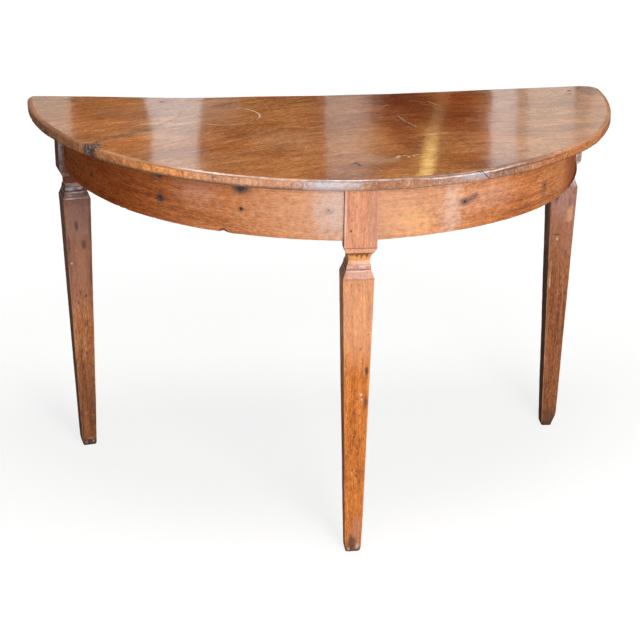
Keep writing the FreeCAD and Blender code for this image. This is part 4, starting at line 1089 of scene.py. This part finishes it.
# spots, painted haze, painted sheens and shade, neck, worm holes and worn parts of one leg
def markLeg(name):
    leg, spots, tones, stains = legs[name], legMarks[name], legTones, legStains

    def marks(net, place, rag, colour, rough, height, polish):
        def spot(deep, core, z, x, y, along, across, depth):
            return net.blot(place, rag, (z, x, y), (along, across, deep), core) * depth

        dark = net.anyOf(spot(14, 0.3, *one) for one in spots["dark"])
        pale = net.anyOf(spot(10, 0.3, *one) for one in spots["pale"])
        # painted haze: a painted reflection on the front and right legs, painted shade on the left leg
        low, high, share = leg["haze"]
        level = net.axis(place, "X")
        limits = [z * mm for z in (low - paintedHazeSoft[0], low, high, high + paintedHazeSoft[1])]
        haze = net.band(level + rag * 0.05, *limits, upper=level)
        colour = net.stain(colour, haze, share, leg["hazeTone"])
        colour, gloss, mould = markNeck(net, place, rag, colour, level, leg)
        blush = net.patches(place, *legNoise["blush"]) * net.fade(level, *legFades["blush"])
        colour = net.stain(colour, blush, *stains["blush"], "MULTIPLY")
        worm = net.patches(place, *legNoise["worm"])
        colour = net.stain(colour, net.patches(place, *legNoise["ash"]), *stains["ash"])
        colour = net.stain(colour, worm, *stains["worm"])
        # painted highlights and reflections, and painted shade where the tone is dark
        for *one, tone in spots["sheen"]:
            colour = net.tint(spot(18, 0.2, *one), colour, tone)
        mottle = net.patches(place, *legNoise["mottle"]) * net.fade(level, *legFades["mottle"])
        colour = net.stain(colour, mottle, leg["mottle"], tones["mottle"])
        colour = net.tint(pale, colour, tones["pale"])
        colour = net.tint(dark, colour, tones["dark"])
        rough = rough + (dark | pale) * 0.1 - gloss * 0.14
        wax = gloss * 0.016 + (1.0 - mould * 0.86) * polish["wax"]
        return colour, rough, height - worm * 1.5 - dark * 0.8, {"wax": wax}
    return marks


for name, spec in legs.items():
    look = dict(legLook, shift=(0.9 + spec["seed"] * 0.37, 1.3, 0.4))
    for key in ("dark", "mid", "mid2", "light", "red"):
        look[key] = tuple(c * t for c, t in zip(look[key], spec["tone"]))
    wood = woodMaterial(name + "Wood", look, marks=markLeg(name))
    buildPiece(name, [legSheet(spec)], [wood], "polished_wood", spec["node"])


# the back rail, a plain bar between the rear legs
backBar = {"outer": 272.5, "inner": 248.5, "bottom": 644.0, "top": 740.0, "half": 480.7, "middle": 260.5}
innerLook = {
    "dark": (0.120, 0.062, 0.034), "mid": (0.235, 0.130, 0.070), "mid2": (0.285, 0.165, 0.092),
    "light": (0.360, 0.225, 0.135), "red": (0.205, 0.100, 0.052), "poreTone": (0.080, 0.045, 0.026),
    "pore": 0.5, "wornTone": (0.42, 0.28, 0.18), "rub": 0.5, "grimeAndShadeTone": (0.060, 0.036, 0.024),
    "shift": (3.1, 0.5, 0.2), "swayScale": (3.0, 9.0, 9.0), "sway": 0.02,
    "streakScale": (4.0, 110.0, 110.0), "fibreScale": (30.0, 420.0, 420.0), "driftScale": (3.0, 9.0, 9.0),
    "weights": (0.85, 0.6, 0.5, 0.5),
    "rough": 0.62, "relief": 0.00025, "wax": 0.0, "fixed": {"IOR": 1.45},
}
innerMarks = {
    "sawMarks": (1500.0, 260.0, 0.0), "dust": ((14.0, 22.0, 22.0), 4.0, 0.65, 0.50, 0.75),
    "dustStain": (0.35, (0.30, 0.22, 0.16)), "stain": ((5.0, 11.0, 11.0), 3.0, 0.6, 0.58, 0.74),
    "oldStain": (0.4, (0.090, 0.050, 0.030)),
}


# dust, stains and saw marks of hidden wood
def markInner(net, place, rag, colour, rough, height, polish):
    run = net.vector("DOT_PRODUCT", place, innerMarks["sawMarks"], "Value")
    saw = net.put("ShaderNodeMath", {"operation": "SINE"}, {0: run})
    dust = net.patches(place, *innerMarks["dust"])
    colour = net.stain(colour, dust, *innerMarks["dustStain"])
    colour = net.stain(colour, net.patches(place, *innerMarks["stain"]), *innerMarks["oldStain"])
    return colour, rough, height + saw * 0.12 * dust, polish


# a bar: the section carried along x, its upper edge fitted to the bow of the top
def backRailSheet():
    b = backBar
    radii, counts = (1.2, 0.6, 0.6, 1.2), (16, 6, 16, 6)
    loop, edge = barLoop(b["outer"], b["inner"], b["bottom"], b["top"], radii, counts)
    x = np.linspace(-b["half"], b["half"], 150)[:, None]
    y, z = loop[:, 0], loop[:, 1]
    place = np.stack([x + 0 * y, y + 0 * x, z + 0 * x], -1)
    wave = 0.4 * softNoise(place, 80, 51) + 0.2 * softNoise(place, 20, 53)
    rise = (z - b["bottom"]) / (b["top"] - b["bottom"])
    lift = rise * bow(x) + 0.8 * softNoise(place, 60, 55) * (1 - rise)
    points = place + np.stack([0 * wave, wave * np.sign(y - b["middle"]), lift], -1)
    # painted shade along the top, under the table top
    return {"points": points, "grain": place[..., [0, 2, 1]], "worn": edge + 0 * x,
            "grime": smooth(z, 722, 742) * 0.6 + 0.25 + 0 * x}


innerRailWood = woodMaterial("backRailWood", innerLook, marks=markInner)
buildPiece("backRail", [backRailSheet()], [innerRailWood], "inner_wood", "back_rail")

# hidden wood keeps its CAD shape: the bearer's grain runs to the wall, the blocks' grain upright
blockLook = dict(innerLook, shift=(0.4, 2.2, 1.1), mid=(0.27, 0.155, 0.085))
bearerWood = woodMaterial("bearerWood", innerLook, order="yzx", marks=markInner)
blockWood = woodMaterial("blockWood", blockLook, order="zxy", marks=markInner)
for node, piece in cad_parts.items():
    if node == "medial_bearer" or node.endswith("_block"):
        piece.data.materials.clear()
        piece.data.materials.append(bearerWood if node == "medial_bearer" else blockWood)


# nails and pegs: half size and height of each head, and the pegs' levels and faces on the right
heads = {"railHeight": 1.5, "topNail": (4.4, 0.25), "peg": (3.9, 0.7), "pegLevels": (671.0, 705.0),
         "sidePeg": (541.0, 241.5), "backPeg": (492.0, 290.5), "legX": 511.0}
rustStain = (0.6, (0.085, 0.036, 0.018))
ironTones = [(0.30, (0.018, 0.017, 0.018)), (0.55, (0.060, 0.058, 0.062)), (0.80, (0.19, 0.19, 0.20))]
eastward, backward, upward = np.eye(3)


# dark forged iron, rusty in patches
def ironMaterial():
    net = Net("forgedIron")
    place = net.put("ShaderNodeTexCoord", {}, {}, "Object")
    scale = net.noise(place, (420.0, 420.0, 420.0), 4.0, 0.65)
    rust = net.patches(place, (180.0, 180.0, 180.0), 3.0, 0.6, 0.46, 0.68)
    colour = net.stain(net.ramp(scale, ironTones), rust, *rustStain)
    return net.finish(colour, 0.40 + rust * 0.35, scale - rust * 0.3, 0.0008, {"Metallic": 0.7})


# a hammered head: a low dome of uneven outline, closed by a flat back inside the wood
def headSheet(base, across, up, outward, size, height, seed):
    turn = np.linspace(0, 2 * np.pi, 17)[:-1]
    share = np.array([0.08, 0.3, 0.55, 0.78, 0.93, 1.0, 1.0, 0.5])[:, None]
    lift = np.array([1.0, 0.97, 0.84, 0.58, 0.28, 0.0, -1.2, -1.2])[:, None] * height
    circle = np.stack([np.cos(turn) * 1.3, np.sin(turn) * 1.3, 0 * turn], -1)
    outline = size * (1 + 0.16 * softNoise(circle, 1.0, seed))
    a, b = np.cos(turn) * outline * share, np.sin(turn) * outline * share
    dents = 0.22 * height * softNoise(np.stack([a, b, 0 * a + seed], -1), 2.2, seed + 1) * (share < 0.99)
    points = base + a[..., None] * across + b[..., None] * up + (lift + dents)[..., None] * outward
    return {"points": points, "grain": points}


# nails of the rails, square to the arc
def railHeads():
    sheets = []
    for k, (angle, level, size, *_) in enumerate(railNails):
        turn = math.radians(angle)
        outward = np.array([math.sin(turn), -math.cos(turn), 0.0])
        across = np.array([math.cos(turn), math.sin(turn), 0.0])
        base = np.array([0.0, railArc["arcY"], level]) + outward * railArc["radius"]
        sheets.append(headSheet(base, across, upward, outward, size, heads["railHeight"], 100 + k))
    return sheets


# nails of the top, which follow its bow
def topHeads():
    sheets = []
    for k, (x, y, _) in enumerate(topMarks["nailSpots"]):
        base = np.array([x, y, topSizes["level"] + bow(x) + backWarp(x, y)])
        sheets.append(headSheet(base, eastward, backward, upward, *heads["topNail"], 140 + k))
    return sheets


# pegs of the rear legs: two through each tenon, ends nearly flush
def pegHeads(side):
    sheets = []
    for k, level in enumerate(heads["pegLevels"]):
        level = level + stileLift(level, heads["legX"])
        for (x, y), across, outward, seed in ((heads["sidePeg"], backward, eastward * side, 160),
                                              (heads["backPeg"], eastward, backward, 170)):
            base = np.array([side * x, y, level])
            sheets.append(headSheet(base, across, upward, outward, *heads["peg"], seed + k + side))
    return sheets


iron = [ironMaterial()]
pegLook = dict(legLook, dark=(0.07, 0.028, 0.012), mid=(0.17, 0.07, 0.03), mid2=(0.22, 0.09, 0.04),
               light=(0.30, 0.14, 0.07))
pegWood = [woodMaterial("pegWood", pegLook, order="xyz")]
buildPiece("railNailHeads", railHeads(), iron, "forged_iron", "rail_nails")
buildPiece("topNailHeads", topHeads(), iron, "forged_iron", "top_nails")
buildPiece("leftPegs", pegHeads(-1), pegWood, "peg_wood", "left_leg_pegs")
buildPiece("rightPegs", pegHeads(1), pegWood, "peg_wood", "right_leg_pegs")


# the floor: a wide disc with a low upright border, so that low views stay pale; sizes in metres
floorSizes = {"radius": 40.0, "sides": 64, "level": -0.0003, "border": 2.4, "paint": (0.80, 0.80, 0.79, 1)}


# pale paint that looks nearly white to the camera and in reflections, the more so away from the table
def floorMaterial():
    net = Net("paleFloor")
    seen = net.anyOf(net.put("ShaderNodeLightPath", {}, {}, ray)
                     for ray in ("Is Camera Ray", "Is Glossy Ray", "Is Transmission Ray"))
    paint = net.put("ShaderNodeBsdfDiffuse", {}, {"Color": floorSizes["paint"]})
    place = net.put("ShaderNodeTexCoord", {}, {}, "Object")
    far = net.fade(net.away(place, (0, 0, 0), (1000, 1000, None)), 0.6, 2.2)
    white = net.put("ShaderNodeEmission", {}, {"Color": (1, 1, 1, 1), "Strength": 1.2})
    mixed = net.put("ShaderNodeMixShader", {}, {0: seen * (far * 0.17 + 0.68), 1: paint, 2: white})
    net.put("ShaderNodeOutputMaterial", {}, {"Surface": mixed})
    return net.material


sides = floorSizes["sides"]
turn = np.linspace(0, 2 * np.pi, sides, endpoint=False)
disc = np.stack([np.cos(turn), np.sin(turn), 0 * turn], 1) * floorSizes["radius"]
disc = disc + [0, 0, floorSizes["level"]]
k = np.arange(sides)
border = np.stack([k, (k + 1) % sides, (k + 1) % sides + sides, k + sides], 1)
floorPoints = np.concatenate([disc, disc + [0, 0, floorSizes["border"]]])
floorMesh = bpy.data.meshes.new("floor")
floorMesh.from_pydata(floorPoints.tolist(), [], [k.tolist()] + border[:, ::-1].tolist())
floorMesh.materials.append(floorMaterial())
floor = bpy.data.objects.new("floor", floorMesh)
bpy.context.scene.collection.objects.link(floor)

world = bpy.data.worlds.new("studio")
bpy.context.scene.world = world
sky = Net("studio", world)
shade = sky.put("ShaderNodeBackground", {}, {"Color": (0.93, 0.96, 1.0, 1), "Strength": 0.03})
sky.put("ShaderNodeOutputWorld", {}, {"Surface": shade})

# soft boxes: place, aim, width, height, watts, colour; matt ones make no reflection, gleams nothing else
lamps = {
    "key": ((0.60, -2.45, 1.40), (0.0, -0.1, 0.5), 1.0, 1.1, 58.0, (1.0, 0.97, 0.93)),
    "over": ((0.1, -0.45, 2.7), (0.0, 0.0, 0.7), 1.3, 0.9, 41.0, (1.0, 0.98, 0.95)),
    "front": ((-0.9, -4.2, 2.1), (0.0, -0.2, 0.6), 1.2, 0.9, 10.0, (0.80, 0.90, 1.0)),
    "fill": ((-2.6, -2.2, 1.2), (0.0, 0.0, 0.5), 1.4, 1.4, 5.5, (0.95, 0.97, 1.0)),
    "gleam": ((0.0, -0.75, 2.5), (0.0, -0.25, 0.76), 2.8, 1.0, 260.0, (0.90, 0.96, 1.0)),
}
mattLamps, gleamLamps = ("key",), ("gleam",)
# panes behind the table that show in the polish: left, right, low, high, brightness, colour, lean
paneY = 2.8
panes = [
    (-1.30, -0.58, 1.15, 2.2, 0.74, (0.88, 1.0, 0.94), 0.0),
    (-0.30, -0.135, 1.15, 2.2, 1.25, (0.82, 0.96, 1.0), 0.0),
    (-0.13, 0.0, 1.20, 1.375, 0.36, (0.90, 1.0, 0.95), 0.0),
    (0.33, 0.445, 1.15, 2.2, 0.57, (0.76, 0.95, 1.0), -3.0),
    (0.445, 0.49, 1.15, 2.2, 0.44, (0.78, 0.95, 1.0), -3.0),
    (0.49, 0.53, 1.15, 2.2, 0.13, (0.80, 0.95, 1.0), -3.0),
    (0.935, 1.035, 1.15, 2.2, 1.32, (0.84, 0.97, 1.0), -5.0),
    (1.035, 1.07, 1.15, 2.2, 0.55, (1.0, 0.92, 0.80), -4.0),
    (1.07, 1.25, 1.15, 2.2, 1.05, (0.92, 1.0, 0.94), -3.0),
    (1.25, 1.30, 1.32, 2.2, 0.6, (0.94, 1.0, 0.92), 0.0),
    (1.30, 1.80, 1.42, 2.2, 1.0, (0.94, 1.0, 0.92), 0.0),
    (0.672, 0.718, 1.61, 1.86, 3.2, (1.0, 0.76, 0.26), 9.0),
    (0.700, 0.745, 1.45, 1.61, 0.60, (1.0, 0.76, 0.36), 9.0),
]


# an object's matrix from its three directions and its place
def placed(side, up, back, place):
    return Matrix(np.vstack([np.column_stack([side, up, back, place]), [0, 0, 0, 1]]).tolist())


# a soft box that faces its aim, turned by its lean in degrees
def addLamp(name, place, aim, width, height, watts, colour, lean=0.0):
    light = bpy.data.lights.new(name, "AREA")
    light.shape = "RECTANGLE"
    light.size, light.size_y = width, height
    light.energy, light.color = watts, colour
    lamp = bpy.data.objects.new(name, light)
    back = np.array(place, float) - np.array(aim, float)
    back = back / np.linalg.norm(back)
    side = np.cross([0, 0, 1.0], back)
    side = side / np.linalg.norm(side)
    side = side * math.cos(math.radians(lean)) - np.cross(back, side) * math.sin(math.radians(lean))
    lamp.matrix_world = placed(side, np.cross(back, side), back, place)
    lamp.visible_camera = False
    lamp.visible_diffuse = name not in gleamLamps
    lamp.visible_glossy = name not in mattLamps
    bpy.context.scene.collection.objects.link(lamp)


for name, spec in lamps.items():
    addLamp(name, *spec)
for k, (left, right, low, high, bright, colour, lean) in enumerate(panes):
    width, tall, middle, level = right - left, high - low, (left + right) / 2, (low + high) / 2
    watts = bright * math.pi * width * tall
    addLamp("pane%d" % k, (middle, paneY, level), (middle, 0.0, level), width, tall, watts, colour, lean)

# the photograph's viewpoint, from the outlines of the top, the apron and the legs; angles in radians
view = {"place": (-0.39069, -2.86965, 1.56704), "yaw": 0.12253, "pitch": 0.38998, "roll": 0.01220,
        "focalPixels": 1576.91, "widthPixels": 640.0, "sensor": 36.0}
yaw, pitch, roll = view["yaw"], view["pitch"], view["roll"]
forward = np.array([math.sin(yaw) * math.cos(pitch), math.cos(yaw) * math.cos(pitch), -math.sin(pitch)])
level = np.array([math.cos(yaw), -math.sin(yaw), 0.0])
upright = np.cross(level, forward)
right = math.cos(roll) * level + math.sin(roll) * upright
up = math.cos(roll) * upright - math.sin(roll) * level
lens = bpy.data.cameras.new("camera")
lens.sensor_width = view["sensor"]
lens.lens = view["focalPixels"] / view["widthPixels"] * view["sensor"]
lens.clip_end = 200.0
camera = bpy.data.objects.new("camera", lens)
camera.matrix_world = placed(right, up, -forward, view["place"])
bpy.context.scene.collection.objects.link(camera)
bpy.context.scene.camera = camera
bpy.context.scene.view_settings.view_transform = "Standard"
print("light and camera set")
